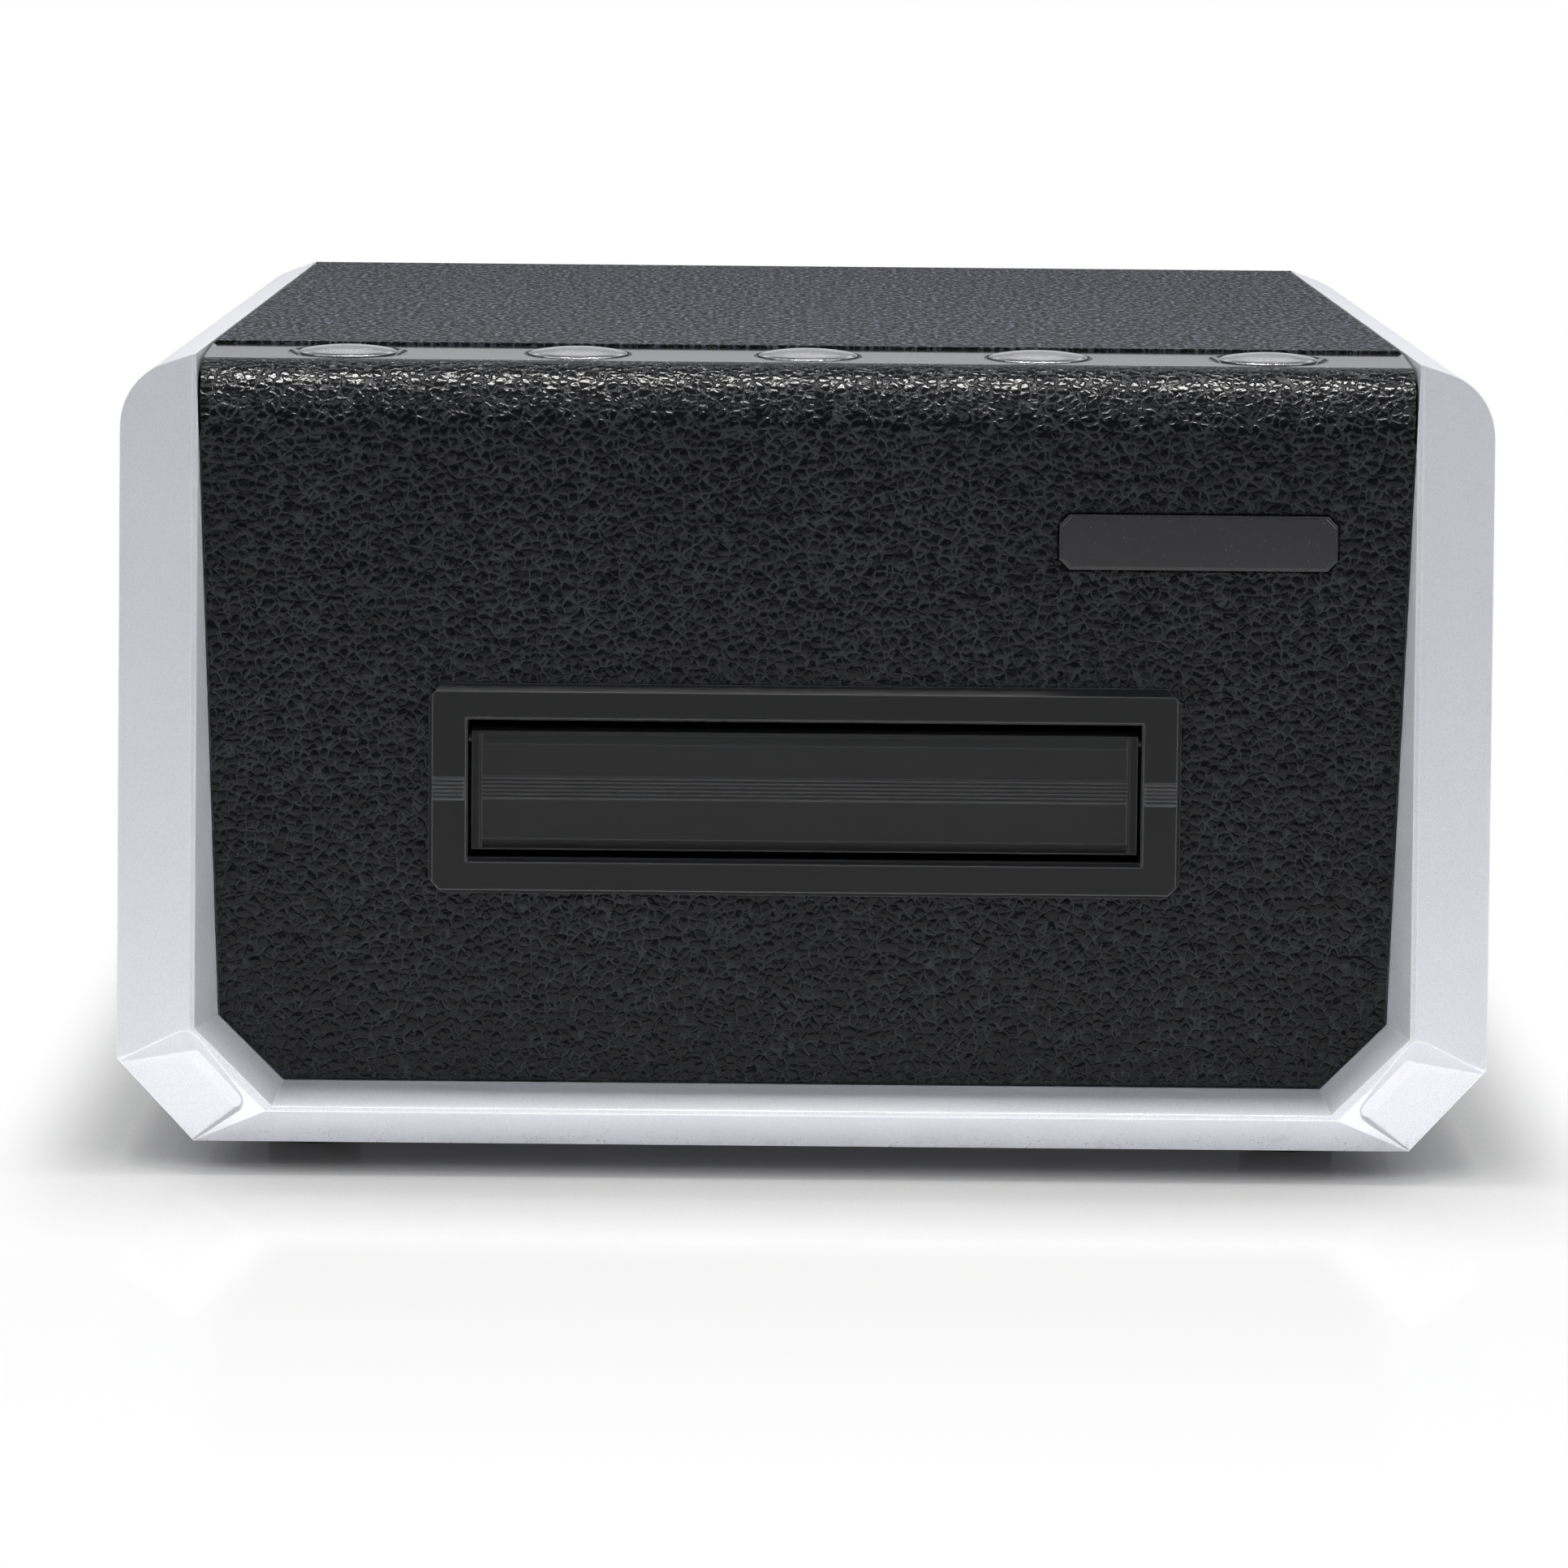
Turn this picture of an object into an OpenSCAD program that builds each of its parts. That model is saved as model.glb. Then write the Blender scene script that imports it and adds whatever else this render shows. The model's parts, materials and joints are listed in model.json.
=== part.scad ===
// Motorised film negative scanner: a silver moulded tub with bevelled end frames, black
// leather-grained panels, a row of five domed buttons and a slot that a film holder runs
// straight through.  Front is -Y, the table is z = 0, and x = 0 is the plane of symmetry.

/* [Overall size] */
// Width over the silver side walls
body_w = 175; // [160:1:212]
// Length over the front and rear crests
body_l = 259; // [240:1:312]
// Height from the table to the top cover
body_h = 104; // [100:1:126]
// Gap between the table and the underside of the tub
foot_gap = 3.5; // [2.5:0.1:6]

/* [Silver tub] */
// Wall of the silver moulding
tub_wall = 2.6; // [2:0.1:3.2]
// Width of the silver shoulder beside the black top
shoulder_w = 10.3; // [8:0.1:14]
// Fall of the shoulder, in degrees
shoulder_slope = 20; // [10:1:30]
// Radius where the shoulder turns into the side wall
shoulder_r = 9; // [5:0.5:10]
// Leg of the chamfer along each lower side
side_chamfer = 10; // [8:0.5:12]
// Height of the lower crest above the underside
sill_h = 5; // [4:0.1:7]
// Corner cut of the crest outline
crest_cut = 10; // [8:0.5:12]
// Setback of the lower outer edge behind the crest
sill_back = 4.5; // [3:0.1:6]
// Setback of the side's outer edge behind the crest
bevel_back = 7.7; // [6:0.1:10]
// Depth of the black panel behind the lower crest
panel_setback = 5.5; // [4:0.1:7]
// Width of the inner bevel along the sill
lip_w = 2.8; // [2:0.1:3.5]
// Depth by which the crest's sharp edge is taken off
crest_flat = 0.4; // [0.2:0.05:0.7]
// Fall of the corner pad below the corner facet
pad_fall = 1; // [0.6:0.1:1.5]
// Number of grip grooves along each lower chamfer
groove_count = 6; // [3:1:7]

/* [Black panels] */
// Thickness of the front, rear and top mouldings
panel_t = 2.5; // [2:0.1:3]
// Radius of the turn from the front panel to the top
panel_r = 8; // [6:0.5:10]
// Assembly gap round the panels
panel_gap = 0.25; // [0.2:0.05:0.4]
// Width of the ledge behind each end panel
ledge_w = 2; // [1.5:0.1:3]

/* [Buttons] */
// Depth of the glossy button strip
strip_d = 17; // [16.5:0.5:20]
// Drop of the strip's front edge below its rear edge
strip_drop = 0.8; // [0:0.1:1.4]
// Thickness of the strip
strip_t = 2; // [1.6:0.1:2.4]
// Pitch of the five buttons
button_pitch = 29.5; // [24:0.5:31]
// Diameter of a button cap
button_d = 12.7; // [11:0.1:13]
// Gap between a cap and its hole
button_gap = 0.35; // [0.25:0.05:0.5]
// Width of the wide ring round the two outer buttons
ring_w = 1.1; // [0.6:0.1:1.3]
// Travel of a button
button_travel = 0.8; // [0.4:0.1:1]

/* [Film slot] */
// Height of the slot's centre above the table
slot_z = 49; // [48:0.5:54]
// Height of the slot
slot_h = 17.6; // [16.5:0.1:19]
// Width of the bezel's flange outside the slot at the sides
bezel_side = 5; // [4:0.1:6]
// Width of the bezel's flange above and below the slot
bezel_band = 4.6; // [4:0.1:6]
// Height of the bezel over the panel
bezel_proud = 1.2; // [0.8:0.1:1.6]
// Corner cut of the bezel
bezel_cut = 1.9; // [1:0.1:3]
// Depth of the flap's face behind the bezel's face
flap_inset = 2.4; // [2:0.1:3]
// Gap round the flap
flap_gap = 0.4; // [0.3:0.05:0.6]
// Number of fine ribs across the flap and the bezel
rib_count = 6; // [3:1:6]
// Opening angle of a flap, in degrees
flap_open = 85; // [60:1:87]

/* [Name plate] */
// Width of the bare plate
plate_w = 35.2; // [30:0.1:40]
// Height of the bare plate
plate_h = 7; // [6:0.1:8]
// Distance of the plate's centre right of the middle
plate_x = 49.5; // [44:0.1:52]
// Height of the plate's centre above the table
plate_z = 81; // [76:0.1:84]

/* [Film transport] */
// Width of the film holder that runs through
holder_w = 82; // [68:0.5:88]
// Clearance of the holder in the slot, each side
slot_clear = 1.7; // [1:0.1:3]
// Thickness of the film holder
holder_t = 10; // [9:0.1:10]
// Thickness of the tunnel's floor and roof
tunnel_t = 2; // [1.6:0.1:2.4]
// Thickness of the steel side plates
plate_t = 1.5; // [1.2:0.1:2]
// Diameter of the drive rollers
roller_d = 14; // [12:0.5:15]
// Diameter of the pinch rollers
pinch_d = 10; // [9:0.5:10.5]
// Diameter of the drive shafts
shaft_d = 4; // [3:0.5:5]
// Diameter of the pinch roller axles
axle_d = 3; // [2.5:0.5:3.5]
// Radial clearance of a running fit
run_fit = 0.04; // [0.02:0.01:0.08]
// Distance of each drive shaft from the middle
shaft_y = 48; // [42:1:52]

/* [Gears] */
// Teeth of the motor pinion and of the small reduction gear
pinion_teeth = 16; // [14:1:20]
// Teeth of the large reduction gear
wheel_teeth = 60; // [48:1:64]
// Teeth of the drive gear
drive_teeth = 48; // [40:1:52]
// Tooth module of the first stage
fast_module = 0.5; // [0.4:0.05:0.5]
// Tooth module of the second stage
slow_module = 0.6; // [0.5:0.05:0.6]
// Sideways play of the teeth at the pitch circle
backlash = 0.16; // [0.1:0.01:0.2]

/* [Hidden] */

$fn = 72;
eps = 0.01;
reach = body_w + body_l;
diag = sqrt(2) - 1;

silver = [0.78, 0.79, 0.82];
leather = [0.07, 0.07, 0.075];
gloss = [0.1, 0.1, 0.11];
satin = [0.13, 0.13, 0.14];
steel = [0.72, 0.73, 0.75];
brass = [0.78, 0.62, 0.3];
rubber = [0.05, 0.05, 0.05];
board = [0.08, 0.32, 0.16];
nylon = [0.88, 0.87, 0.82];
glass = [0.75, 0.85, 0.9];

half_w = body_w / 2;
half_l = body_l / 2;
floor_z = foot_gap;
deck_z = floor_z + tub_wall;
rim_x = half_w - shoulder_w;
rim_z = body_h - 0.2;
crest_y = half_l + crest_flat;
crest_z = floor_z + sill_h;
panel_y = half_l - panel_setback;
seat_y = panel_y - panel_t;
mid = [0, 0, body_h / 2];
slot_w = holder_w + 2 * slot_clear;
tunnel_in = holder_w / 2 + 1;
side_x = tunnel_in + 8;

// The corner where a crest ends at the black top, the crest's two lower corners, and the two
// outer corners behind them, all at the front right.
crest_top = [rim_x, -panel_y, rim_z];
crest_side = [rim_x, -crest_y, crest_z + crest_cut];
crest_sill = [rim_x - crest_cut, -crest_y, crest_z];
edge_side = [half_w, -(half_l - bevel_back), floor_z + side_chamfer];
edge_sill = [half_w - side_chamfer, -(half_l - sill_back), floor_z];
lip_side = [rim_x - lip_w, -panel_y, crest_z + crest_cut + lip_w * diag];
lip_sill = [rim_x - crest_cut - lip_w * diag, -panel_y, crest_z + lip_w];

// ---------------------------------------------------------------- helpers

module both_sides() {
    children();
    mirror([1, 0, 0]) children();
}

module both_ends() {
    children();
    mirror([0, 1, 0]) children();
}

module corners(x, y) {
    for (sx = [-1, 1], sy = [-1, 1]) {
        translate([sx * x, sy * y, 0]) children();
    }
}

// A child drawn in X-Y stands up in X-Z and is swept along Y, from y0 to y1.
module sweep_y(y0, y1) {
    translate([0, y1, 0]) rotate([90, 0, 0]) linear_extrude(height = y1 - y0) children();
}

// A child drawn in X-Y stands up in Y-Z and is swept along X, from x0 to x1.
module sweep_x(x0, x1) {
    translate([x0, 0, 0]) rotate([90, 0, 90]) linear_extrude(height = x1 - x0) children();
}

module rod_x(x0, x1, y, z, d) {
    translate([x0, y, z]) rotate([0, 90, 0]) cylinder(d = d, h = x1 - x0);
}

module rod_z(x, y, z0, z1, d) {
    translate([x, y, z0]) cylinder(d = d, h = z1 - z0);
}

module block(x, y, z) {
    translate([x[0], y[0], z[0]]) cube([x[1] - x[0], y[1] - y[0], z[1] - z[0]]);
}

function unit(v) = v / norm(v);

// Unit normal of the plane through three points, pointing away from a point inside.
function away(a, b, c, inside) =
    let (n = unit(cross(b - a, c - a)))
    n * (a - inside) > 0 ? n : -n;

// Everything beyond the plane through p with outward normal n, sunk in by inset.
module beyond(p, n, inset = 0) {
    translate(p - n * inset)
        rotate([0, acos(n[2]), atan2(n[1], n[0])])
            translate([-reach, -reach, 0]) cube([2 * reach, 2 * reach, reach]);
}

// The round segment between the chord p-q and the circle about c, with a little overlap.
module arc_fill(c, r, p, q) {
    n = unit((p + q) / 2 - c);
    m = (p + q) / 2 - n * 0.3;
    t = unit(q - p) * 2 * r;
    intersection() {
        translate(c) circle(r = r);
        polygon([m - t, m + t, m + t + n * r, m - t + n * r]);
    }
}

function mirrored(points) =
    concat(points, [for (i = [len(points) - 1:-1:0]) [-points[i][0], points[i][1]]]);

// A rectangle with its four corners cut at 45 degrees, centred.
module cut_corner_rect(w, h, c) {
    polygon([[-w / 2 + c, -h / 2], [w / 2 - c, -h / 2], [w / 2, -h / 2 + c],
        [w / 2, h / 2 - c], [w / 2 - c, h / 2], [-w / 2 + c, h / 2],
        [-w / 2, h / 2 - c], [-w / 2, -h / 2 + c]]);
}

// ---------------------------------------------------------------- silver tub

shoulder_turn = shoulder_r * tan((90 - shoulder_slope) / 2);
shoulder_c = [half_w - shoulder_r,
    rim_z - shoulder_w * tan(shoulder_slope) - shoulder_turn];

// Cross-section of the tub, with every wall moved in by inset.
module tub_outline(inset) {
    r = shoulder_r - inset;
    wall_end = [half_w - inset, shoulder_c[1]];
    slope_start = shoulder_c + r * [sin(shoulder_slope), cos(shoulder_slope)];
    polygon(mirrored([
        [half_w - side_chamfer - inset * diag, floor_z + inset],
        [half_w - inset, floor_z + side_chamfer + inset * diag],
        wall_end,
        slope_start,
        [rim_x, rim_z - inset / cos(shoulder_slope)]]));
    both_sides() arc_fill(shoulder_c, r, wall_end, slope_start);
}

// The tub's outer form without its openings, with every face moved in by inset.
module tub_blank(inset) {
    side_n = away(crest_side, crest_top, edge_side, mid);
    upper_n = away(crest_side, edge_sill, edge_side, mid);
    lower_n = away(crest_side, crest_sill, edge_sill, mid);
    sill_n = away(crest_sill, edge_sill, edge_sill - [1, 0, 0], mid);
    lean_n = away(crest_side, crest_top, crest_top - [1, 0, 0], mid);
    difference() {
        sweep_y(-crest_y, crest_y) tub_outline(inset);
        both_ends() {
            both_sides() {
                beyond(crest_side, side_n, inset);
                beyond(crest_side, upper_n, inset);
                beyond(crest_side, lower_n, inset);
            }
            beyond(edge_sill, sill_n, inset);
            beyond(crest_top, lean_n, crest_flat + inset);
            beyond([0, -half_l, 0], [0, -1, 0], inset);
        }
    }
}

// Outline of the mouth at the panel's face, grown by grow.
module mouth_outline(grow) {
    lip = lip_w - grow;
    polygon(mirrored([
        [rim_x - crest_cut - lip * diag, crest_z + lip],
        [rim_x - lip, crest_z + crest_cut + lip * diag],
        [rim_x + grow, rim_z],
        [rim_x + grow, body_h + 5]]));
}

// The hollow in front of the panel, and the panel's own pocket down to depth.
module mouth(grow, depth) {
    hub = [0, -half_l, body_h / 2];
    side_n = away(crest_side, crest_top, lip_side, hub);
    corner_n = away(crest_side, crest_sill, lip_sill, hub);
    sill_n = away(crest_sill, lip_sill, lip_sill - [1, 0, 0], hub);
    difference() {
        block([-half_w, half_w], [-crest_y - 1, -panel_y + eps], [0, body_h + 5]);
        both_sides() {
            beyond(crest_side, side_n, -grow);
            beyond(crest_side, corner_n, -grow);
        }
        beyond(crest_sill, sill_n, -grow);
    }
    sweep_y(-panel_y, depth - panel_y) mouth_outline(grow + 0.05);
}

// The pad on the corner facet: u runs along the outer edge, v inwards to the crest.
pad_u = unit(edge_sill - edge_side);
pad_mid = (edge_side + edge_sill) / 2;
pad_in = (crest_side + crest_sill) / 2 - pad_mid;
pad_half = norm(edge_sill - edge_side) / 2;
pad_n = away(edge_side, edge_sill, (crest_side + crest_sill) / 2, mid);
pad_v = cross(pad_n, pad_u) * (cross(pad_n, pad_u) * pad_in > 0 ? 1 : -1);

// The pad sinks from the outer edge inwards and narrows, between walls that slope.
module corner_pad() {
    share = 0.775;
    inner_half = pad_half * 0.64;
    corner_r = 1;
    wall_slope = 1.45;
    lift = 3;
    start = 0.12;
    multmatrix([
        [pad_u[0], pad_v[0], pad_n[0], pad_mid[0]],
        [pad_u[1], pad_v[1], pad_n[1], pad_mid[1]],
        [pad_u[2], pad_v[2], pad_n[2], pad_mid[2]],
        [0, 0, 0, 1]]) translate([0, 0, -start]) hull() {
        for (s = [-1, 1]) {
            translate([s * (pad_half - 0.4), -0.6, 0]) cylinder(d = 0.1, h = lift, $fn = 8);
            translate([share * (pad_in * pad_u) + s * (inner_half - corner_r),
                share * (pad_in * pad_v) - corner_r, -pad_fall])
                cylinder(r1 = corner_r, r2 = corner_r + wall_slope * (pad_fall + lift),
                    h = pad_fall + lift, $fn = 32);
        }
    }
}

groove_pitch = side_chamfer * sqrt(2) / (groove_count + 1);

module grip_grooves() {
    groove = 0.8;
    run = half_l - bevel_back - 6;
    for (i = [1:groove_count]) {
        translate([half_w - side_chamfer, 0, floor_z]) rotate([0, -45, 0])
            translate([i * groove_pitch, 0, 0])
                cube([groove, 2 * run, groove], center = true);
    }
}

// Bosses: cover posts, side plate standoffs and the panel screws at the sills.
pulley_d = 15;
flange_w = 2;
post_x = rim_x - 7;
post_d = 10;
post_y = shaft_y + pulley_d / 2 + flange_w + post_d / 2 + 1.5;
post_seat = 40;
post_top = 50;
stand_x = side_x + 8;
stand_y = shaft_y + 34;
stand_top = deck_z + 4;
sill_screw_x = 30;
sill_screw_y = half_l - sill_back - 8.5;
sill_boss_top = crest_z + lip_w + 1.2;
head_d = 5.6;
head_h = 2;
screw_d = 2.9;
pilot_d = 2.5;
head_gap = 0.5;
foot_d = 12;
foot_seat = 1;
foot_x = half_w - side_chamfer - 14;
foot_y = panel_y - 24;

module screw_way(x, y, seat) {
    rod_z(x, y, floor_z - 1, seat, head_d + 2 * head_gap);
    rod_z(x, y, 0, body_h, screw_d + 0.4);
}

module lower_case() {
    color(silver) difference() {
        union() {
            difference() {
                tub_blank(0);
                difference() {
                    tub_blank(tub_wall);
                    both_ends() mouth(tub_wall, panel_t + ledge_w);
                }
                both_ends() mouth(0, panel_t);
                sweep_y(-panel_y + 1, panel_y - 1) intersection() {
                    mouth_outline(-ledge_w);
                    translate([-half_w, deck_z]) square([body_w, body_h]);
                }
                block([-rim_x, rim_x], [1 - panel_y, panel_y - 1],
                    [strip_z - panel_r - 1.5, body_h + 5]);
            }
            for (s = [-1, 1]) {
                both_ends() {
                    rod_z(s * post_x, post_y, deck_z - eps, post_top, post_d);
                    rod_z(s * stand_x, stand_y, deck_z - eps, stand_top, 7);
                    rod_z(s * sill_screw_x, sill_screw_y, deck_z - eps, sill_boss_top, 9);
                    block([s * post_x - 0.9, s * post_x + 0.9], [post_y + 4, post_y + 16],
                        [deck_z - eps, post_top * 0.6]);
                }
            }
            for (y = [-0.5, 0, 0.5]) {
                block([-half_w + side_chamfer, half_w - side_chamfer],
                    [y * post_y - 0.8, y * post_y + 0.8], [deck_z - eps, deck_z + 2.5]);
            }
        }
        both_ends() both_sides() corner_pad();
        both_sides() grip_grooves();
        both_ends() both_sides() {
            screw_way(post_x, post_y, post_seat);
            screw_way(sill_screw_x, sill_screw_y, floor_z + head_h + 1);
            rod_z(foot_x, foot_y, floor_z - 1, floor_z + foot_seat, foot_d + 0.4);
            rod_z(stand_x, stand_y, deck_z, body_h, pilot_d);
            block([sill_screw_x - 5.5, sill_screw_x + 5.5], [seat_y - ledge_w - 1, seat_y + eps],
                [sill_boss_top, sill_boss_top + 12]);
        }
    }
}

module rubber_feet() {
    color(rubber) corners(foot_x, foot_y) {
        cylinder(d1 = foot_d - 1.6, d2 = foot_d, h = 1);
        translate([0, 0, 1]) cylinder(d = foot_d, h = floor_z + foot_seat - 1.05);
    }
}

// A pan-head screw, seated at z and pointing up, with a cross recess.
module pan_screw(x, y, z, length, d = screw_d) {
    translate([x, y, z]) difference() {
        union() {
            cylinder(d = d, h = length);
            translate([0, 0, -head_h]) cylinder(d = head_d, h = head_h);
        }
        for (a = [0, 90]) {
            rotate([0, 0, a]) translate([0, 0, -head_h])
                cube([head_d * 0.6, 0.8, 1.6], center = true);
        }
    }
}

module case_screws() {
    color(steel) for (sx = [-1, 1], sy = [-1, 1]) {
        pan_screw(sx * post_x, sy * post_y, post_seat, post_top - post_seat + 8, pilot_d - 0.1);
        pan_screw(sx * sill_screw_x, sy * sill_screw_y, floor_z + head_h + 1,
            sill_boss_top - floor_z + 3, pilot_d - 0.1);
    }
}

// ---------------------------------------------------------------- black panels

strip_y = -panel_y + panel_r;
strip_z = body_h - 0.4 - strip_drop;
strip_tilt = asin(strip_drop / strip_d);
cover_y0 = strip_y + strip_d + 0.4;
cover_y1 = panel_y - panel_r - 0.3;

module on_strip() {
    translate([0, strip_y, strip_z]) rotate([strip_tilt, 0, 0]) children();
}

// Section of an end panel in Y-Z: the region behind its skin, moved in by inset.
module panel_section(top_z, inset) {
    r = panel_r - inset;
    c = [-panel_y + panel_r, top_z - panel_r];
    polygon([[-panel_y + inset, -5], [c[0] + 30, -5], [c[0] + 30, c[1] + r],
        [c[0], c[1] + r], [c[0] - r, c[1]]]);
    arc_fill(c, r, [c[0], c[1] + r], [c[0] - r, c[1]]);
}

// The skin of an end panel, cut to the mouth, with its screw lugs.
module panel_skin(top_z, turn_y) {
    intersection() {
        union() {
            difference() {
                sweep_x(-rim_x, rim_x) panel_section(top_z, 0);
                sweep_x(-rim_x - 1, rim_x + 1) panel_section(top_z, panel_t);
                block([-half_w, half_w], [turn_y, 0], [0, body_h + 5]);
            }
            both_sides() difference() {
                block([sill_screw_x - 4.5, sill_screw_x + 4.5],
                    [-seat_y - eps, -sill_screw_y + 4.5],
                    [sill_boss_top + panel_gap, sill_boss_top + 9]);
                rod_z(sill_screw_x, -sill_screw_y, 0, sill_boss_top + 8, pilot_d);
            }
        }
        sweep_y(-panel_y - 1, 0) mouth_outline(-panel_gap);
    }
}

module bezel_window() {
    w = slot_w + 2 * throat_wall + 2 * panel_gap;
    block([-w / 2, w / 2], [-panel_y - 1, -seat_y + 1],
        [throat_z[0] - throat_wall - panel_gap, throat_z[1] + throat_wall + panel_gap]);
}

module front_panel() {
    hole_d = button_d + 2 * button_gap + 2 * collar_wall + 0.6;
    color(leather) difference() {
        union() {
            panel_skin(strip_z, strip_y);
            intersection() {
                on_strip() block([-rim_x, rim_x], [-panel_t, strip_d + 0.2],
                    [-strip_t - panel_t, -strip_t - 0.05]);
                sweep_y(-panel_y - 1, 0) mouth_outline(-panel_gap - 0.3);
            }
            on_strip() for (s = [-1, 1]) {
                translate([s * board_screw_x, strip_d / 2, -board_drop + 0.02])
                    cylinder(d = 6, h = board_drop - strip_t - 1);
            }
        }
        bezel_window();
        translate([plate_x, -panel_y + 0.4, plate_z]) rotate([90, 0, 0])
            linear_extrude(height = 2) cut_corner_rect(plate_w + 0.3, plate_h + 0.3, 1.3);
        on_strip() for (i = [-2:2]) {
            translate([i * button_pitch, strip_d / 2, -9]) cylinder(d = hole_d, h = 9);
        }
        on_strip() for (s = [-1, 1]) {
            translate([s * board_screw_x, strip_d / 2, -board_drop - 1])
                cylinder(d = pilot_d, h = 7.5);
        }
    }
}

module rear_panel() {
    turn_y = -panel_y + panel_r;
    shelf_z = body_h - panel_t - 0.15;
    color(leather) mirror([0, 1, 0]) difference() {
        union() {
            panel_skin(body_h, turn_y);
            sweep_x(-rim_x + 3, rim_x - 3) polygon([[turn_y - 4, shelf_z - panel_t],
                [turn_y + 5, shelf_z - panel_t], [turn_y + 5, shelf_z], [turn_y, shelf_z],
                [turn_y, shelf_z + 0.6], [turn_y - 4, shelf_z + 0.6]]);
        }
        bezel_window();
        socket_windows();
    }
}

module socket_windows() {
    g = 0.4;
    block([usb_x - usb_w / 2 - g, usb_x + usb_w / 2 + g], [-panel_y - 1, -seat_y + 1],
        [board_top - g, board_top + usb_h + g]);
    block([jack_x - jack_w / 2 - g, jack_x + jack_w / 2 + g], [-panel_y - 1, -seat_y + 1],
        [board_top - g, board_top + jack_h + g]);
}

module top_cover() {
    skin = body_h - panel_t;
    edge = rim_x - panel_gap;
    rib_h = 5;
    rib_x = 40;
    rib_y = 44;
    color(leather) difference() {
        union() {
            sweep_y(cover_y0, cover_y1) polygon(mirrored([
                [edge, skin], [edge, body_h - 0.5], [edge - 0.5, body_h]]));
            both_sides() {
                block([edge - 2, edge], [cover_y0 + 14, cover_y1 - 8],
                    [body_h - 14, skin + eps]);
                for (k = [-1.5:1:1.5]) {
                    translate([0, k * body_l * 0.16, 0]) sweep_y(-4, 4) polygon([
                        [edge - 1, body_h - 14], [edge + 1.4, body_h - 10.5],
                        [edge + 1.4, body_h - 9.5], [edge - 1, body_h - 9.5]]);
                }
            }
            for (k = [-1:1]) {
                block([-edge + 1, edge - 1], [k * rib_y - 0.8, k * rib_y + 0.8],
                    [skin - rib_h, skin + eps]);
                block([k * rib_x - 0.8, k * rib_x + 0.8], [cover_y0 + 8, cover_y1 - 6],
                    [skin - rib_h, skin + eps]);
            }
            corners(post_x, post_y) {
                translate([0, 0, post_top + 0.2]) cylinder(d = 7, h = skin - post_top);
            }
        }
        corners(post_x, post_y) cylinder(d = pilot_d, h = skin - 20);
    }
}

// ---------------------------------------------------------------- buttons

collar_wall = 1.1;
collar_h = 4;
stem_d = 4;
switch_h = 4.3;
board_drop = 11;
board_t = 1.6;
dish_h = 0.55;
board_screw_x = 1.5 * button_pitch;

module button_strip() {
    w = 2 * (rim_x - panel_gap);
    hole = button_d + 2 * button_gap;
    color(gloss) on_strip() difference() {
        union() {
            block([-w / 2, w / 2], [0.2, strip_d], [-strip_t, 0]);
            for (i = [-2:2]) {
                translate([i * button_pitch, strip_d / 2, -strip_t - collar_h])
                    cylinder(d = hole + 2 * collar_wall, h = collar_h + eps);
            }
        }
        for (i = [-2:2]) {
            translate([i * button_pitch, strip_d / 2, 0]) {
                translate([0, 0, -10]) cylinder(d = hole, h = 11);
                wide = abs(i) == 2 ? ring_w : 0.25;
                translate([0, 0, -dish_h]) cylinder(d1 = hole, d2 = hole + 2 * wide,
                    h = dish_h + eps);
            }
        }
    }
}

// A domed cap on a skirt, with a retaining flange and a stem over its switch.
module button_cap(i) {
    r = button_d / 2;
    crown = 0.55;
    brim = 0.1;
    shoulder = 0.5;
    shoulder_h = 0.2;
    skirt = 1.2;
    flange_z = -strip_t - collar_h - 1.2;
    stem_end = -board_drop + switch_h + button_travel + 0.1;
    dome_r = (pow(r - shoulder, 2) + pow(crown, 2)) / (2 * crown);
    color(steel) on_strip() translate([i * button_pitch, strip_d / 2, 0]) {
        intersection() {
            translate([0, 0, brim + shoulder_h + crown - dome_r]) sphere(r = dome_r, $fn = 128);
            cylinder(r = r - shoulder, h = 4);
        }
        rotate_extrude() polygon([[0, brim + shoulder_h + eps],
            [r - shoulder, brim + shoulder_h + eps], [r, brim], [r, flange_z + 1],
            [r + 1, flange_z + 1], [r + 1, flange_z], [r - skirt, flange_z], [r - skirt, -2],
            [stem_d / 2, -2], [stem_d / 2, stem_end], [0, stem_end]]);
    }
}

module power_button() {
    button_cap(-2);
}

module eject_button() {
    button_cap(-1);
}

module slide_button() {
    button_cap(0);
}

module colour_button() {
    button_cap(1);
}

module mono_button() {
    button_cap(2);
}

module button_board() {
    w = 4 * button_pitch + 18;
    color(board) on_strip() difference() {
        union() {
            block([-w / 2, w / 2], [1.5, strip_d - 1.5], [-board_drop - board_t, -board_drop]);
            block([cable_x - 6, cable_x + 6], [5, 10],
                [-board_drop - board_t - 3, -board_drop - board_t + eps]);
        }
        for (s = [-1, 1]) {
            translate([s * board_screw_x, strip_d / 2, -20]) cylinder(d = 3.2, h = 20);
        }
    }
}

module button_switches() {
    color(satin) on_strip() for (i = [-2:2]) {
        translate([i * button_pitch, strip_d / 2, -board_drop]) {
            translate([-3, -3, 0.02]) cube([6, 6, 3.4]);
            translate([0, 0, 3.3]) cylinder(d = 3.4, h = switch_h - 3.3);
        }
    }
}

// ---------------------------------------------------------------- film slot

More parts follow.
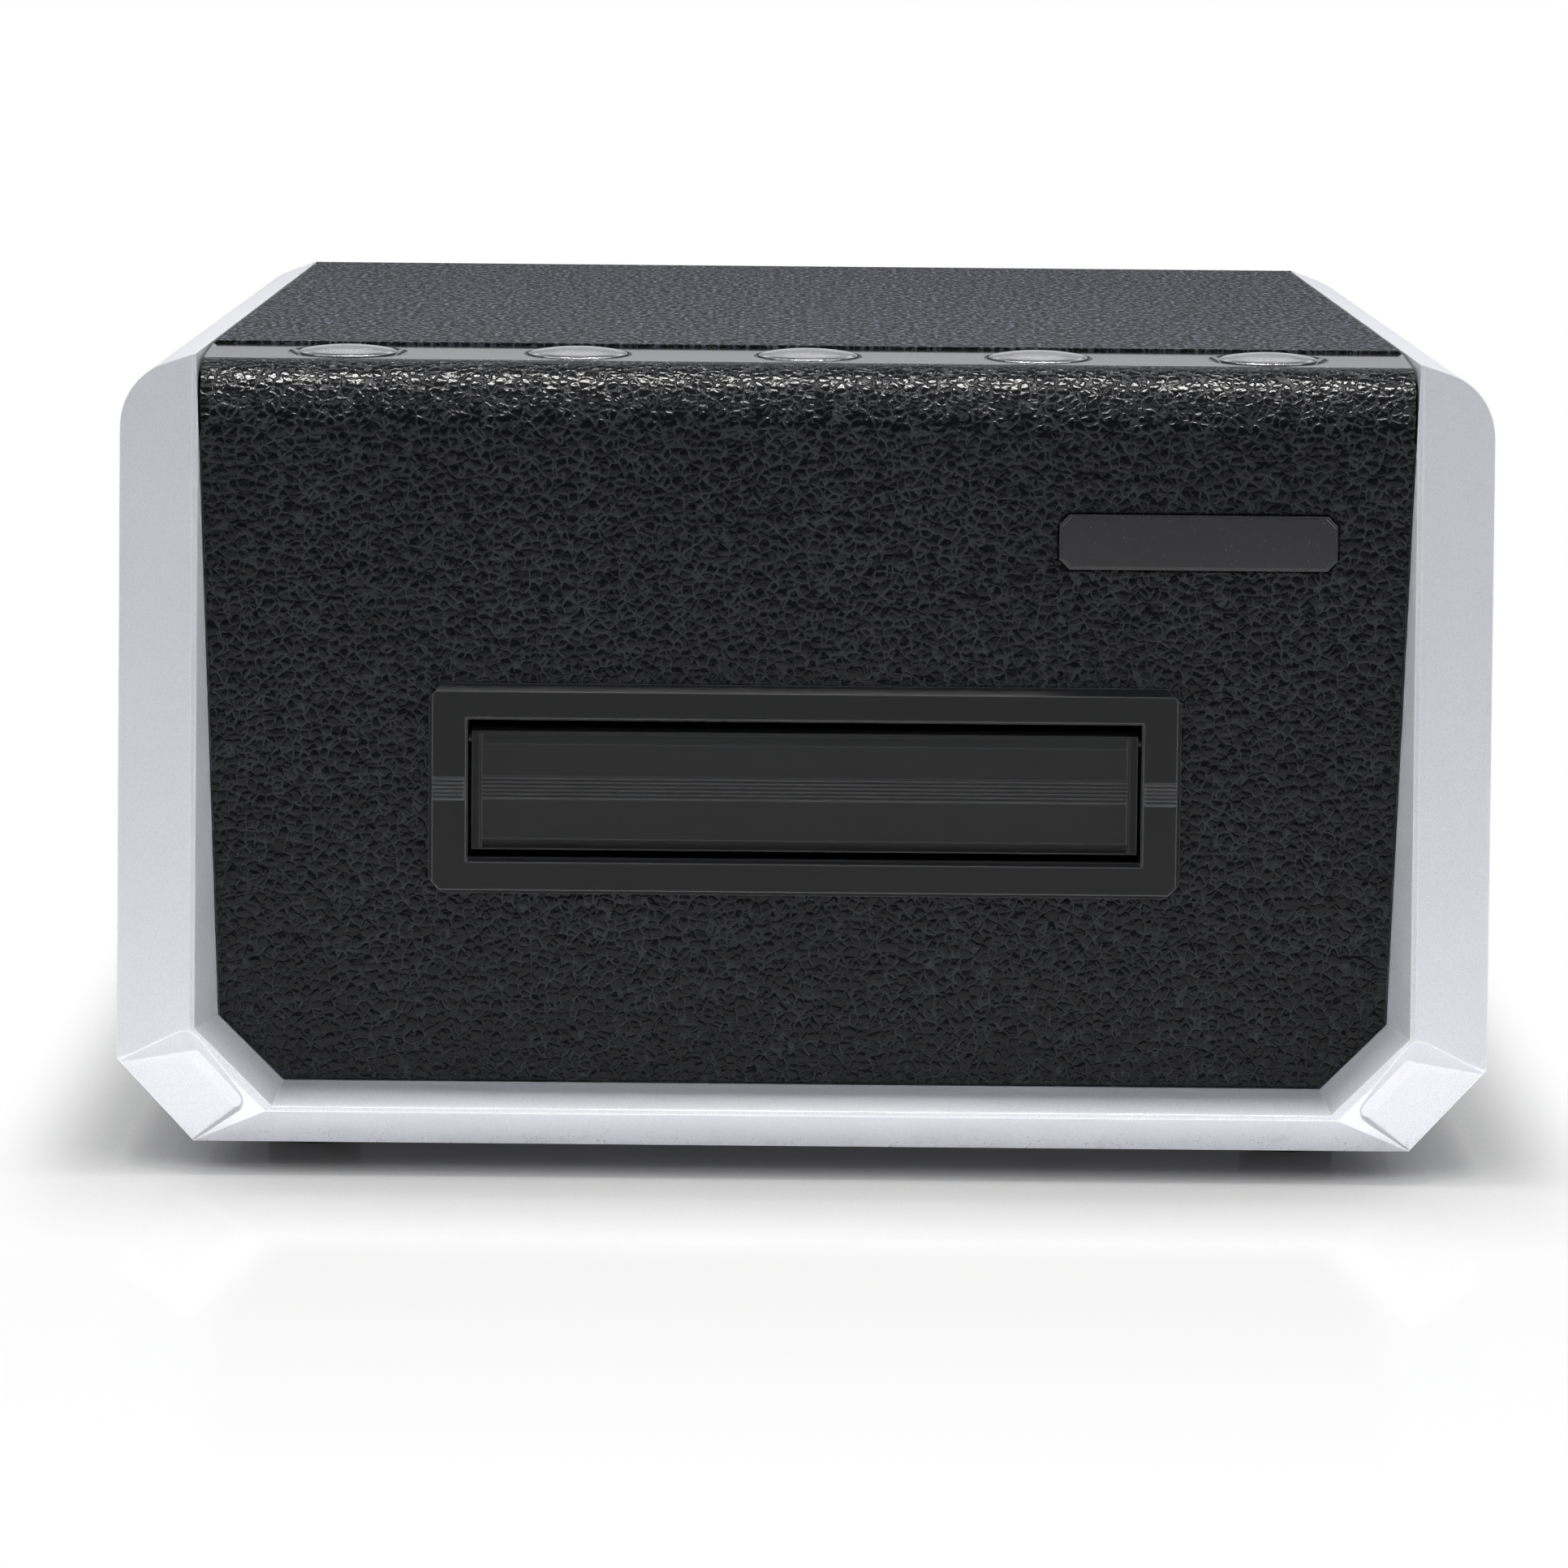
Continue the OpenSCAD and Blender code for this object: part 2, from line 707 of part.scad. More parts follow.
throat_wall = 1.4;
bezel_y = panel_y + bezel_proud;
throat_in = 23;
pin_d = 1.5;
barrel_d = 3;
flap_t = 2.2;
hinge_in = 1.2;
hinge_y = bezel_y - flap_inset - hinge_in;
hinge_z = slot_z + slot_h / 2 - 2.6;
throat_z = [slot_z - slot_h / 2 - 0.2, slot_z + slot_h / 2 + 0.2];
flap_w = slot_w - 2 * flap_gap;
flap_x = flap_w / 2;
flap_low = slot_z - slot_h / 2 + 0.8;
rib_pitch = 0.5;

module rib_bars(x0, x1, y) {
    for (i = [0:rib_count - 1]) {
        z = slot_z + (i - (rib_count - 1) / 2) * rib_pitch;
        sweep_x(x0, x1) polygon([[y + eps, z - 0.2], [y - 0.22, z - 0.08], [y - 0.22, z + 0.08],
            [y + eps, z + 0.2]]);
    }
}

module slot_bezel() {
    w = slot_w + 2 * bezel_side;
    h = slot_h + 2 * bezel_band;
    soft = 0.5;
    top_soft = 1;
    edge_break = 0.25;
    sill_break = 0.55;
    low = slot_z - slot_h / 2;
    high = slot_z + slot_h / 2;
    back = -bezel_y + throat_in + 1;
    difference() {
        union() {
            intersection() {
                translate([0, 0, slot_z]) sweep_y(-bezel_y, -panel_y - 0.05)
                    cut_corner_rect(w, h, bezel_cut);
                sweep_x(-w, w) polygon([[-bezel_y, slot_z - h / 2 + soft],
                    [-bezel_y + soft, slot_z - h / 2], [-panel_y, slot_z - h / 2],
                    [-panel_y, slot_z + h / 2], [-bezel_y + top_soft, slot_z + h / 2],
                    [-bezel_y, slot_z + h / 2 - top_soft]]);
                translate([0, 0, slot_z - h]) linear_extrude(height = 2 * h)
                    polygon([[-w / 2, 0], [-w / 2, -bezel_y + soft], [-w / 2 + soft, -bezel_y],
                        [w / 2 - soft, -bezel_y], [w / 2, -bezel_y + soft], [w / 2, 0]]);
            }
            block([-slot_w / 2 - throat_wall, slot_w / 2 + throat_wall],
                [-panel_y - 0.1, -bezel_y + throat_in],
                [throat_z[0] - throat_wall, throat_z[1] + throat_wall]);
            for (s = [-1, 1], k = [-0.6, 0.6]) {
                wall_z = s > 0 ? throat_z[1] + throat_wall : throat_z[0] - throat_wall;
                translate([k * slot_w / 2, 0, wall_z]) sweep_x(-3, 3) polygon([
                    [-seat_y + 0.1, -s * 0.5], [-seat_y + 0.1, s * 1.2],
                    [-seat_y + 0.9, s * 1.2], [-seat_y + 3.5, -s * 0.5]]);
            }
            both_sides() {
                rib_bars(slot_w / 2 + 0.5, w / 2 - soft, -bezel_y);
            }
        }
        intersection() {
            sweep_x(-w, w) polygon([[-bezel_y - 1, low - sill_break - 1],
                [-bezel_y + sill_break, low], [back, low], [back, high],
                [-bezel_y + edge_break, high], [-bezel_y - 1, high + edge_break + 1]]);
            linear_extrude(height = body_h) polygon(mirrored([
                [slot_w / 2, back], [slot_w / 2, -bezel_y + edge_break],
                [slot_w / 2 + edge_break + 1, -bezel_y - 1]]));
        }
        block([-slot_w / 2, slot_w / 2], [-panel_y + 0.6, back], throat_z);
        rod_x(-slot_w / 2 - throat_wall - 1, slot_w / 2 + throat_wall + 1, -hinge_y, hinge_z,
            pin_d + 0.04);
    }
}

module front_bezel() {
    color(satin) slot_bezel();
}

module rear_bezel() {
    color(satin) mirror([0, 1, 0]) slot_bezel();
}

module slot_flap() {
    face = -bezel_y + flap_inset;
    back = face + flap_t;
    raise = 0.6;
    field_x = flap_x - 1.3;
    field_z = [flap_low + 0.15, hinge_z + 0.5];
    top_bevel = 1.15;
    low_bevel = 1.3;
    groove = 0.25;
    rib_proud = 1.2;
    difference() {
        union() {
            block([-flap_x, flap_x], [face, back], [flap_low, hinge_z]);
            sweep_x(-field_x, field_x) polygon([[face + eps, field_z[0]],
                [face - raise, field_z[0] + low_bevel], [face - raise, field_z[1] - top_bevel],
                [face + eps, field_z[1]]]);
            rib_bars(-field_x, field_x, face - raise);
            intersection() {
                rod_x(-flap_x, flap_x, -hinge_y, hinge_z, barrel_d);
                block([-flap_x, flap_x], [face, face + 2 * barrel_d], [0, body_h]);
            }
            for (s = [-1, 1]) {
                block([s * flap_x * 0.5 - 0.8, s * flap_x * 0.5 + 0.8],
                    [back - eps, back + rib_proud], [flap_low + 3, hinge_z - 3]);
            }
        }
        rod_x(-flap_x - 1, flap_x + 1, -hinge_y, hinge_z, pin_d + 2 * run_fit);
        both_sides() block([field_x, field_x + groove], [face - 1, face + groove],
            [flap_low - 1, field_z[1]]);
    }
}

module front_flap() {
    color(satin) slot_flap();
}

module rear_flap() {
    color(satin) mirror([0, 1, 0]) slot_flap();
}

module flap_pin() {
    rod_x(-slot_w / 2 - throat_wall, slot_w / 2 + throat_wall, -hinge_y, hinge_z, pin_d);
}

module front_flap_pin() {
    color(steel) flap_pin();
}

module rear_flap_pin() {
    color(steel) mirror([0, 1, 0]) flap_pin();
}

module badge_plate() {
    t = 1.2;
    bevel = 0.3;
    color(gloss) translate([plate_x, -panel_y + 0.4 - 0.02, plate_z]) rotate([90, 0, 0]) {
        linear_extrude(height = t - bevel) cut_corner_rect(plate_w, plate_h, 1.3);
        translate([0, 0, t - bevel - eps]) linear_extrude(height = bevel)
            cut_corner_rect(plate_w - 2 * bevel, plate_h - 2 * bevel, 1.2);
    }
}

// ---------------------------------------------------------------- tunnel and side plates

tunnel_y = bezel_y - throat_in - 1;
pass_low = slot_z - slot_h / 2 + 0.4;
pass_high = pass_low + holder_t + 1;
drive_z = pass_low + 0.4 - roller_d / 2;
pinch_z = pass_high - 0.4 + pinch_d / 2;
roller_w = 9;
roller_x = tunnel_in - roller_w;
plate_top = pass_high + tunnel_t + 6;
window_w = 44;
window_d = 10;
rail_screw_y = 62;
rail_screw_z = pass_low - tunnel_t - 1.6;

module roller_windows(y, d, z0, z1) {
    for (s = [-1, 1]) {
        block([s * roller_x - roller_w / 2 - 1, s * roller_x + roller_w / 2 + 1],
            [y - d / 2 - 0.8, y + d / 2 + 0.8], [z0, z1]);
    }
}

module tunnel_floor() {
    color(satin) difference() {
        union() {
            block([-side_x + 0.1, side_x - 0.1], [-tunnel_y, tunnel_y],
                [pass_low - tunnel_t, pass_low]);
            both_sides() block([tunnel_in, tunnel_in + 2], [-tunnel_y, tunnel_y],
                [pass_low - eps, pass_high]);
            both_sides() for (k = [-1:1]) {
                block([side_x - 7, side_x - 0.1], [k * rail_screw_y - 5, k * rail_screw_y + 5],
                    [pass_low - tunnel_t - 4, pass_low - eps]);
            }
            block([-window_w / 2 - 3, window_w / 2 + 3], [-window_d / 2 - 3, window_d / 2 + 3],
                [pass_low - tunnel_t - 1.2, pass_low - eps]);
        }
        both_ends() roller_windows(shaft_y, roller_d, 0, pass_low + 1);
        block([-window_w / 2, window_w / 2], [-window_d / 2, window_d / 2], [0, pass_low + 1]);
        block([-window_w / 2 - 1.5, window_w / 2 + 1.5], [-window_d / 2 - 1.5, window_d / 2 + 1.5],
            [pass_low - 1.6, pass_low + 1]);
        both_sides() for (k = [-1:1]) {
            rod_x(side_x - 8, side_x + 1, k * rail_screw_y, rail_screw_z, pilot_d);
        }
        both_sides() for (y = optic_screw_y) {
            rod_z(optic_screw_x, y, 0, pass_low - 0.4, pilot_d);
        }
    }
}

module tunnel_roof() {
    ear = 4;
    color(satin) difference() {
        union() {
            block([-side_x + 0.1, side_x - 0.1], [-tunnel_y, tunnel_y],
                [pass_high + 0.05, pass_high + tunnel_t]);
            for (k = [-1, 1]) {
                block([k * 12 - 0.8, k * 12 + 0.8], [-tunnel_y + 4, -shaft_y - 9],
                    [pass_high + tunnel_t - eps, pass_high + tunnel_t + 3]);
                block([k * 12 - 0.8, k * 12 + 0.8], [shaft_y + 9, tunnel_y - 4],
                    [pass_high + tunnel_t - eps, pass_high + tunnel_t + 3]);
            }
            both_ends() both_sides() {
                block([roller_x - roller_w / 2 - 2 - ear, roller_x - roller_w / 2 - 2],
                    [shaft_y - 4, shaft_y + 4], [pass_high + tunnel_t - eps, pinch_z + 3.4]);
                block([roller_x + roller_w / 2 + 2, roller_x + roller_w / 2 + 2 + ear],
                    [shaft_y - 4, shaft_y + 4], [pass_high + tunnel_t - eps, pinch_z + 3.4]);
            }
        }
        both_ends() roller_windows(shaft_y, pinch_d, pass_high - 1, pass_high + tunnel_t + 1);
        both_ends() rod_x(-side_x, side_x, shaft_y, pinch_z, axle_d + 2 * run_fit);
        block([-window_w / 2, window_w / 2], [-window_d / 2, window_d / 2],
            [pass_high - 1, pass_high + tunnel_t + 1]);
        both_sides() rod_z(lamp_screw_x, 0, pass_high + 0.4, lamp_z + 1, pilot_d);
    }
}

module scan_window() {
    color(glass) block([-window_w / 2 - 1.4, window_w / 2 + 1.4],
        [-window_d / 2 - 1.4, window_d / 2 + 1.4], [pass_low - 1.55, pass_low - 0.1]);
}

// Outline of a side plate in Y-Z with its lightening holes.
module side_plate_section() {
    y1 = tunnel_y - 1;
    difference() {
        polygon([[-y1, stand_top + 0.05], [y1, stand_top + 0.05], [y1, plate_top - 8],
            [y1 - 8, plate_top], [-y1 + 8, plate_top], [-y1, plate_top - 8]]);
        for (k = [-1, 1]) {
            translate([k * 12, stand_top + 13]) circle(d = 12);
            translate([k * (shaft_y - 18), stand_top + 14]) circle(d = 9);
        }
        translate([-30, pass_high + 4]) square([60, 3]);
        translate([cable_y[0] - 0.8, cable_z - 2])
            square([cable_y[1] - cable_y[0] + 1.6, 4]);
    }
}

module side_plate(bosses) {
    tab = 13;
    difference() {
        union() {
            sweep_x(side_x, side_x + plate_t) side_plate_section();
            both_ends() block([side_x, side_x + tab], [stand_y - 6, stand_y + 6],
                [stand_top + 0.05, stand_top + 0.05 + plate_t]);
            both_ends() block([side_x, side_x + tab], [tab_y - 6, tab_y + 6],
                [plate_top - plate_t, plate_top]);
        }
        both_ends() {
            rod_z(stand_x, stand_y, 0, body_h, screw_d + 0.3);
            rod_z(stand_x, tab_y, 0, body_h, screw_d + 0.3);
            rod_x(side_x - 1, side_x + plate_t + 1, shaft_y, drive_z, bush_d + 0.04);
        }
        for (k = [-1:1]) {
            rod_x(side_x - 1, side_x + plate_t + 1, k * rail_screw_y, rail_screw_z,
                screw_d + 0.2);
        }
        if (bosses) {
            rod_x(side_x - 1, side_x + plate_t + 1, motor_at[0], motor_at[1], 7.2);
            rod_x(side_x - 1, side_x + plate_t + 1, wheel_at[0], wheel_at[1], 3.04);
            for (s = [-1, 1]) {
                at = motor_at + s * motor_ear * [cos(ear_turn), sin(ear_turn)];
                rod_x(side_x - 1, side_x + plate_t + 1, at[0], at[1], screw_d + 0.2);
            }
        }
    }
}

module left_side_plate() {
    color(steel) mirror([1, 0, 0]) side_plate(false);
}

module right_side_plate() {
    color(steel) side_plate(true);
}

// A screw along X, its head outside the side plate.
module side_screw(s, y, z, length) {
    mirror([s < 0 ? 1 : 0, 0, 0]) translate([side_x + plate_t, y, z]) rotate([0, -90, 0])
        pan_screw(0, 0, 0, length, pilot_d - 0.1);
}

module chassis_screws() {
    color(steel) {
        for (sx = [-1, 1], sy = [-1, 1]) {
            translate([sx * stand_x, sy * stand_y, stand_top + 0.05 + plate_t])
                mirror([0, 0, 1]) pan_screw(0, 0, 0, plate_t + 3.5, pilot_d - 0.1);
        }
        for (s = [-1, 1], k = [-1:1]) {
            side_screw(s, k * rail_screw_y, rail_screw_z, 7);
        }
        for (s = [-1, 1]) {
            at = motor_at + s * motor_ear * [cos(ear_turn), sin(ear_turn)];
            side_screw(1, at[0], at[1], plate_t + 2.2);
        }
        both_sides() {
            for (y = optic_screw_y) {
                pan_screw(optic_screw_x, y, optic_z[1] - flange_t, flange_t + 1.5, pilot_d - 0.1);
            }
            translate([lamp_screw_x, 0, lamp_z + flange_t]) mirror([0, 0, 1])
                pan_screw(0, 0, 0, flange_t + 1.4, pilot_d - 0.1);
            translate([sensor_screw_x, sensor_y + board_t, optic_axis]) rotate([90, 0, 0])
                pan_screw(0, 0, 0, board_t + 1.7, pilot_d - 0.1);
        }
        corners(stand_x, tab_y) {
            pan_screw(0, 0, plate_top - plate_t, plate_t + 2.3, pilot_d - 0.1);
            translate([0, 0, board_top]) mirror([0, 0, 1])
                pan_screw(0, 0, 0, board_t + 2, pilot_d - 0.1);
        }
        on_strip() for (s = [-1, 1]) {
            pan_screw(s * board_screw_x, strip_d / 2, -board_drop - board_t, board_t + 5,
                pilot_d - 0.1);
        }
    }
}

// ---------------------------------------------------------------- gear train

bush_d = shaft_d + 3;
gear_t = 4;
slow_x = side_x + plate_t + 3;
fast_x = slow_x + gear_t + 0.8;
pulley_x = slow_x + gear_t + 7;
pulley_t = 5;
belt_t = 1.2;
fast_gap = fast_module * (pinion_teeth + wheel_teeth) / 2;
slow_gap = slow_module * (pinion_teeth + drive_teeth) / 2;
slow_dir = 202;
fast_dir = 192;
drive_at = [-shaft_y, drive_z];
wheel_at = drive_at + slow_gap * [cos(slow_dir), sin(slow_dir)];
motor_at = wheel_at + fast_gap * [cos(fast_dir), sin(fast_dir)];
motor_d = 20;
motor_len = 18;
motor_ear = 12.5;
ear_turn = 40;
tab_y = 30;

function roll(a) = tan(a) * 180 / PI - a;

// Half of a tooth's angle at radius r, on an involute flank of 20 degrees.
function flank(m, teeth, r) =
    let (base = m * teeth / 2 * cos(20), rr = max(r, base))
    90 / teeth - backlash / (2 * m * teeth) * 180 / PI + roll(20) - roll(acos(base / rr));

// Spur gear outline with stub teeth, one tooth centred on angle zero.
module gear_outline(m, teeth) {
    pitch = m * teeth / 2;
    radii = [pitch - 1.1 * m, pitch - 0.55 * m, pitch - 0.1 * m, pitch + 0.35 * m,
        pitch + 0.8 * m];
    last = len(radii) - 1;
    polygon([for (k = [0:teeth - 1], i = [0:2 * last + 1])
        let (r = radii[i <= last ? i : 2 * last + 1 - i], side = i <= last ? -1 : 1,
            a = 360 * k / teeth + side * flank(m, teeth, r))
        r * [cos(a), sin(a)]]);
}

// A gear across X at the point at, with a tooth towards angle turn.
module gear_x(at, x, m, teeth, turn, bore) {
    translate([0, at[0], at[1]]) difference() {
        sweep_x(x, x + gear_t) rotate(turn) gear_outline(m, teeth);
        rod_x(x - 1, x + gear_t + 1, 0, 0, bore);
    }
}

module motor_pinion() {
    color(brass) gear_x(motor_at, fast_x, fast_module, pinion_teeth, fast_dir + 180,
        2 + 2 * 0.02);
}

module motor_shaft() {
    color(steel) rod_x(side_x - motor_len + 2, fast_x + gear_t + 1, motor_at[0], motor_at[1], 2);
}

module stepper_motor() {
    color(steel) difference() {
        union() {
            rod_x(side_x - motor_len, side_x - 0.05, motor_at[0], motor_at[1], motor_d);
            rod_x(side_x - 1, side_x + plate_t + 0.6, motor_at[0], motor_at[1], 7);
            translate([0, motor_at[0], motor_at[1]]) sweep_x(side_x - 1, side_x - 0.05)
                rotate(ear_turn) {
                    square([2 * motor_ear, 7], center = true);
                    for (s = [-1, 1]) {
                        translate([s * motor_ear, 0]) circle(d = 7);
                    }
                }
        }
        rod_x(side_x - motor_len + 1.9, side_x + 5, motor_at[0], motor_at[1],
            2 + 2 * run_fit);
        for (s = [-1, 1]) {
            at = motor_at + s * motor_ear * [cos(ear_turn), sin(ear_turn)];
            rod_x(side_x - 3, side_x + 1, at[0], at[1], pilot_d);
        }
    }
}

module reduction_gear() {
    bore = 3 + 2 * run_fit;
    color(nylon) {
        gear_x(wheel_at, fast_x, fast_module, wheel_teeth, fast_dir - 180 / wheel_teeth, bore);
        gear_x(wheel_at, slow_x, slow_module, pinion_teeth, slow_dir + 180, bore);
        translate([0, wheel_at[0], wheel_at[1]]) difference() {
            rod_x(slow_x + gear_t - eps, fast_x + eps, 0, 0, 8);
            rod_x(slow_x, fast_x + 1, 0, 0, bore);
        }
    }
}

module reduction_axle() {
    color(steel) {
        rod_x(side_x, fast_x + gear_t + 1.6, wheel_at[0], wheel_at[1], 3);
        rod_x(side_x + plate_t + 0.05, slow_x - 0.3, wheel_at[0], wheel_at[1], 5);
        rod_x(fast_x + gear_t + 0.4, fast_x + gear_t + 1.2, wheel_at[0], wheel_at[1], 5.4);
    }
}

module drive_gear() {
    color(nylon) difference() {
        gear_x(drive_at, slow_x, slow_module, drive_teeth, slow_dir - 180 / drive_teeth,
            shaft_d + 0.04);
        for (a = [0:60:300]) {
            at = drive_at + 8.2 * [cos(a), sin(a)];
            rod_x(slow_x - 1, slow_x + gear_t + 1, at[0], at[1], 4);
        }
    }
}

module pulley(y) {
    translate([0, y, drive_z]) difference() {
        union() {
            rod_x(pulley_x, pulley_x + pulley_t, 0, 0, pulley_d);
            for (x = [pulley_x - 1, pulley_x + pulley_t]) {
                rod_x(x, x + 1, 0, 0, pulley_d + 2 * flange_w);
            }
            rod_x(pulley_x - 1.8, pulley_x, 0, 0, shaft_d + 4);
        }
        rod_x(pulley_x - 4, pulley_x + pulley_t + 2, 0, 0, shaft_d + 0.04);
    }
}

module drive_pulley() {
    color(nylon) pulley(-shaft_y);
}

module rear_pulley() {
    color(nylon) pulley(shaft_y);
}

module belt_end(s, r) {
    intersection() {
        translate([s * shaft_y, 0]) circle(r = r);
        translate([s * shaft_y + (s > 0 ? 0 : -2 * r), -2 * r]) square([2 * r, 4 * r]);
    }
}

// A loop round two equal pulleys, out to radius r.
module belt_outline(r) {
    square([2 * shaft_y, 2 * r], center = true);
    belt_end(-1, r);
    belt_end(1, r);
}

module drive_belt() {
    inner = pulley_d / 2 + 0.1;
    color(rubber) translate([0, 0, drive_z])
        sweep_x(pulley_x + 0.3, pulley_x + pulley_t - 0.3) difference() {
            belt_outline(inner + belt_t);
            belt_outline(inner);
        }
}

module cross_shaft(y) {
    rod_x(-side_x - plate_t - 4, pulley_x + pulley_t + 2, y, drive_z, shaft_d);
}

module drive_shaft() {
    color(steel) cross_shaft(-shaft_y);
}

module rear_shaft() {
    color(steel) cross_shaft(shaft_y);
}

module roller_pair(y) {
    for (s = [-1, 1]) {
        difference() {
            rod_x(s * roller_x - roller_w / 2, s * roller_x + roller_w / 2, y, drive_z, roller_d);
            rod_x(s * roller_x - roller_w, s * roller_x + roller_w, y, drive_z, shaft_d + 0.04);
        }
    }
}

module drive_rollers() {
    color(rubber) roller_pair(-shaft_y);
}

module rear_rollers() {
    color(rubber) roller_pair(shaft_y);
}

module shaft_bushes() {
    color(brass) both_ends() both_sides() difference() {
        union() {
            rod_x(side_x, side_x + plate_t + 1, -shaft_y, drive_z, bush_d);
            rod_x(side_x + plate_t + 0.05, side_x + plate_t + 1.2, -shaft_y, drive_z, bush_d + 3);
        }
        rod_x(side_x - 3, side_x + plate_t + 2, -shaft_y, drive_z, shaft_d + 2 * run_fit);
    }
}

module pinch_pair(y) {
    end = roller_x + roller_w / 2 + 7;
    rod_x(-end, end, y, pinch_z, axle_d);
    for (s = [-1, 1]) {
        rod_x(s * roller_x - roller_w / 2, s * roller_x + roller_w / 2, y, pinch_z, pinch_d);
        rod_x(s * roller_x - roller_w / 2 - 1, s * roller_x + roller_w / 2 + 1, y, pinch_z, 5.4);
    }
}

module front_pinch_rollers() {
    color(rubber) pinch_pair(-shaft_y);
}

module rear_pinch_rollers() {
    color(rubber) pinch_pair(shaft_y);
}

// ---------------------------------------------------------------- light and optics

lamp_z = pass_high + tunnel_t;
lamp_screw_x = window_w / 2 + 7.5;
flange_t = 2;
optic_wall = 2;
optic_x = window_w / 2 + 6;
optic_y = [-15, shaft_y - 13];
optic_z = [deck_z + 4, pass_low - tunnel_t - 0.05];
optic_axis = (optic_z[0] + optic_z[1]) / 2;
optic_screw_x = optic_x + 4;
optic_screw_y = [optic_y[0] + 4, optic_y[1] - 4];
mirror_t = 1.4;
lens_y = 16;
sensor_y = optic_y[1] + 0.05;
sensor_screw_x = 18;
cable_y = [sensor_y + 2, sensor_y + 8.4];
cable_z = optic_axis - 5;
cable_x = -20;

module lamp_housing() {
    x1 = window_w / 2 + 4;
    y1 = window_d / 2 + 5;
    h = 7;
    color(satin) difference() {
        union() {
            block([-x1, x1], [-y1, y1], [lamp_z + 0.05, lamp_z + h]);
            block([-x1 - 7, x1 + 7], [-4, 4], [lamp_z + 0.05, lamp_z + flange_t]);
        }
        block([-x1 + 2.6, x1 - 2.6], [-y1 + 2.6, y1 - 2.6], [lamp_z + 1.6, lamp_z + h + 1]);
        block([-x1 + 1.6, x1 - 1.6], [-y1 + 1.6, y1 - 1.6], [lamp_z + 5.15, lamp_z + h + 1]);
        block([-window_w / 2, window_w / 2], [-window_d / 2, window_d / 2],
            [lamp_z - 1, lamp_z + 2]);
        both_sides() rod_z(lamp_screw_x, 0, lamp_z - 1, lamp_z + 4, screw_d);
    }
}

module light_diffuser() {
    color(nylon) block([-window_w / 2 - 1, window_w / 2 + 1],
        [-window_d / 2 - 1, window_d / 2 + 1], [lamp_z + 1.65, lamp_z + 3.2]);
}

module lamp_board() {
    color(board) {
        block([-window_w / 2 - 2.2, window_w / 2 + 2.2], [-window_d / 2 - 3.2, window_d / 2 + 3.2],
            [lamp_z + 5.2, lamp_z + 6.4]);
        for (i = [-4:4]) {
            translate([i * window_w / 9.5, 0, lamp_z + 4.75]) cube([2.8, 3.5, 1], center = true);
        }
    }
}

// An open box under the tunnel: mirror at 45 degrees, then the lens, then the line sensor.
module optics_housing() {
    inner_x = optic_x - optic_wall;
    color(satin) difference() {
        union() {
            difference() {
                block([-optic_x, optic_x], optic_y, optic_z);
                difference() {
                    block([-inner_x, inner_x], [optic_y[0] + optic_wall, optic_y[1] - optic_wall],
                        [optic_z[0] + optic_wall, optic_z[1] + 1]);
                    block([-optic_x, optic_x], [lens_y - 5, lens_y + 5], [0, optic_axis]);
                }
            }
            both_sides() {
                for (y = optic_screw_y) {
                    block([optic_x - eps, optic_screw_x + 4], [y - 4, y + 4],
                        [optic_z[1] - flange_t, optic_z[1]]);
                }
                translate([0, 0, optic_axis]) rotate([-45, 0, 0])
                    block([inner_x - 4, inner_x + eps], [-7.5, 7.5],
                        [-mirror_t / 2 - 2.6, -mirror_t / 2 - 0.05]);
            }
        }
        translate([0, lens_y, optic_axis]) rotate([90, 0, 0])
            cylinder(d = 12.1, h = 18, center = true);
        block([-13, 13], [optic_y[1] - optic_wall - 1, optic_y[1] + 1],
            [optic_axis - 5, optic_axis + 5]);
        both_sides() {
            for (y = optic_screw_y) {
                rod_z(optic_screw_x, y, 0, body_h, screw_d);
            }
            translate([sensor_screw_x, optic_y[1] - optic_wall - 1, optic_axis])
                rotate([-90, 0, 0]) cylinder(d = pilot_d, h = optic_wall + 2);
        }
    }
}

module mirror_glass() {
    color(glass) translate([0, 0, optic_axis]) rotate([-45, 0, 0])
        cube([2 * (optic_x - optic_wall) - 0.4, 15, mirror_t], center = true);
}

module lens_barrel() {
    color(gloss) translate([0, lens_y - 6, optic_axis]) rotate([-90, 0, 0]) rotate_extrude()
        polygon([[4, 0], [5.4, 0], [6, 0.6], [6, 11.4], [5.4, 12], [4, 12], [4, 9.5], [3.2, 9.2],
            [3.2, 7], [4, 6]]);
}

module lens_glass() {
    color(glass) translate([0, lens_y - 5.2, optic_axis]) rotate([-90, 0, 0]) intersection() {
        cylinder(d = 7.9, h = 3.4);
        translate([0, 0, 9]) sphere(r = 9, $fn = 96);
    }
}

module sensor_board() {
    color(board) difference() {
        union() {
            block([-24, 24], [sensor_y, sensor_y + board_t], [optic_z[0] + 1, optic_z[1] - 4]);
            block([-12, 12], [sensor_y - 1.6, sensor_y + eps], [optic_axis - 4, optic_axis + 4]);
            block([-13, -3], [sensor_y + board_t - eps, cable_y[1]],
                [cable_z - 1.2, cable_z + 1.8]);
        }
        both_sides() translate([sensor_screw_x, sensor_y - 1, optic_axis]) rotate([-90, 0, 0])
            cylinder(d = screw_d, h = board_t + 2);
    }
}

// ---------------------------------------------------------------- electronics

board_z = plate_top + 5;
board_top = board_z + board_t;
usb_w = 12;
usb_h = 10.9;
usb_x = -24;
jack_w = 9;
jack_h = 11;
jack_x = -44;
main_y = [-tab_y - 8, seat_y - 3.5];

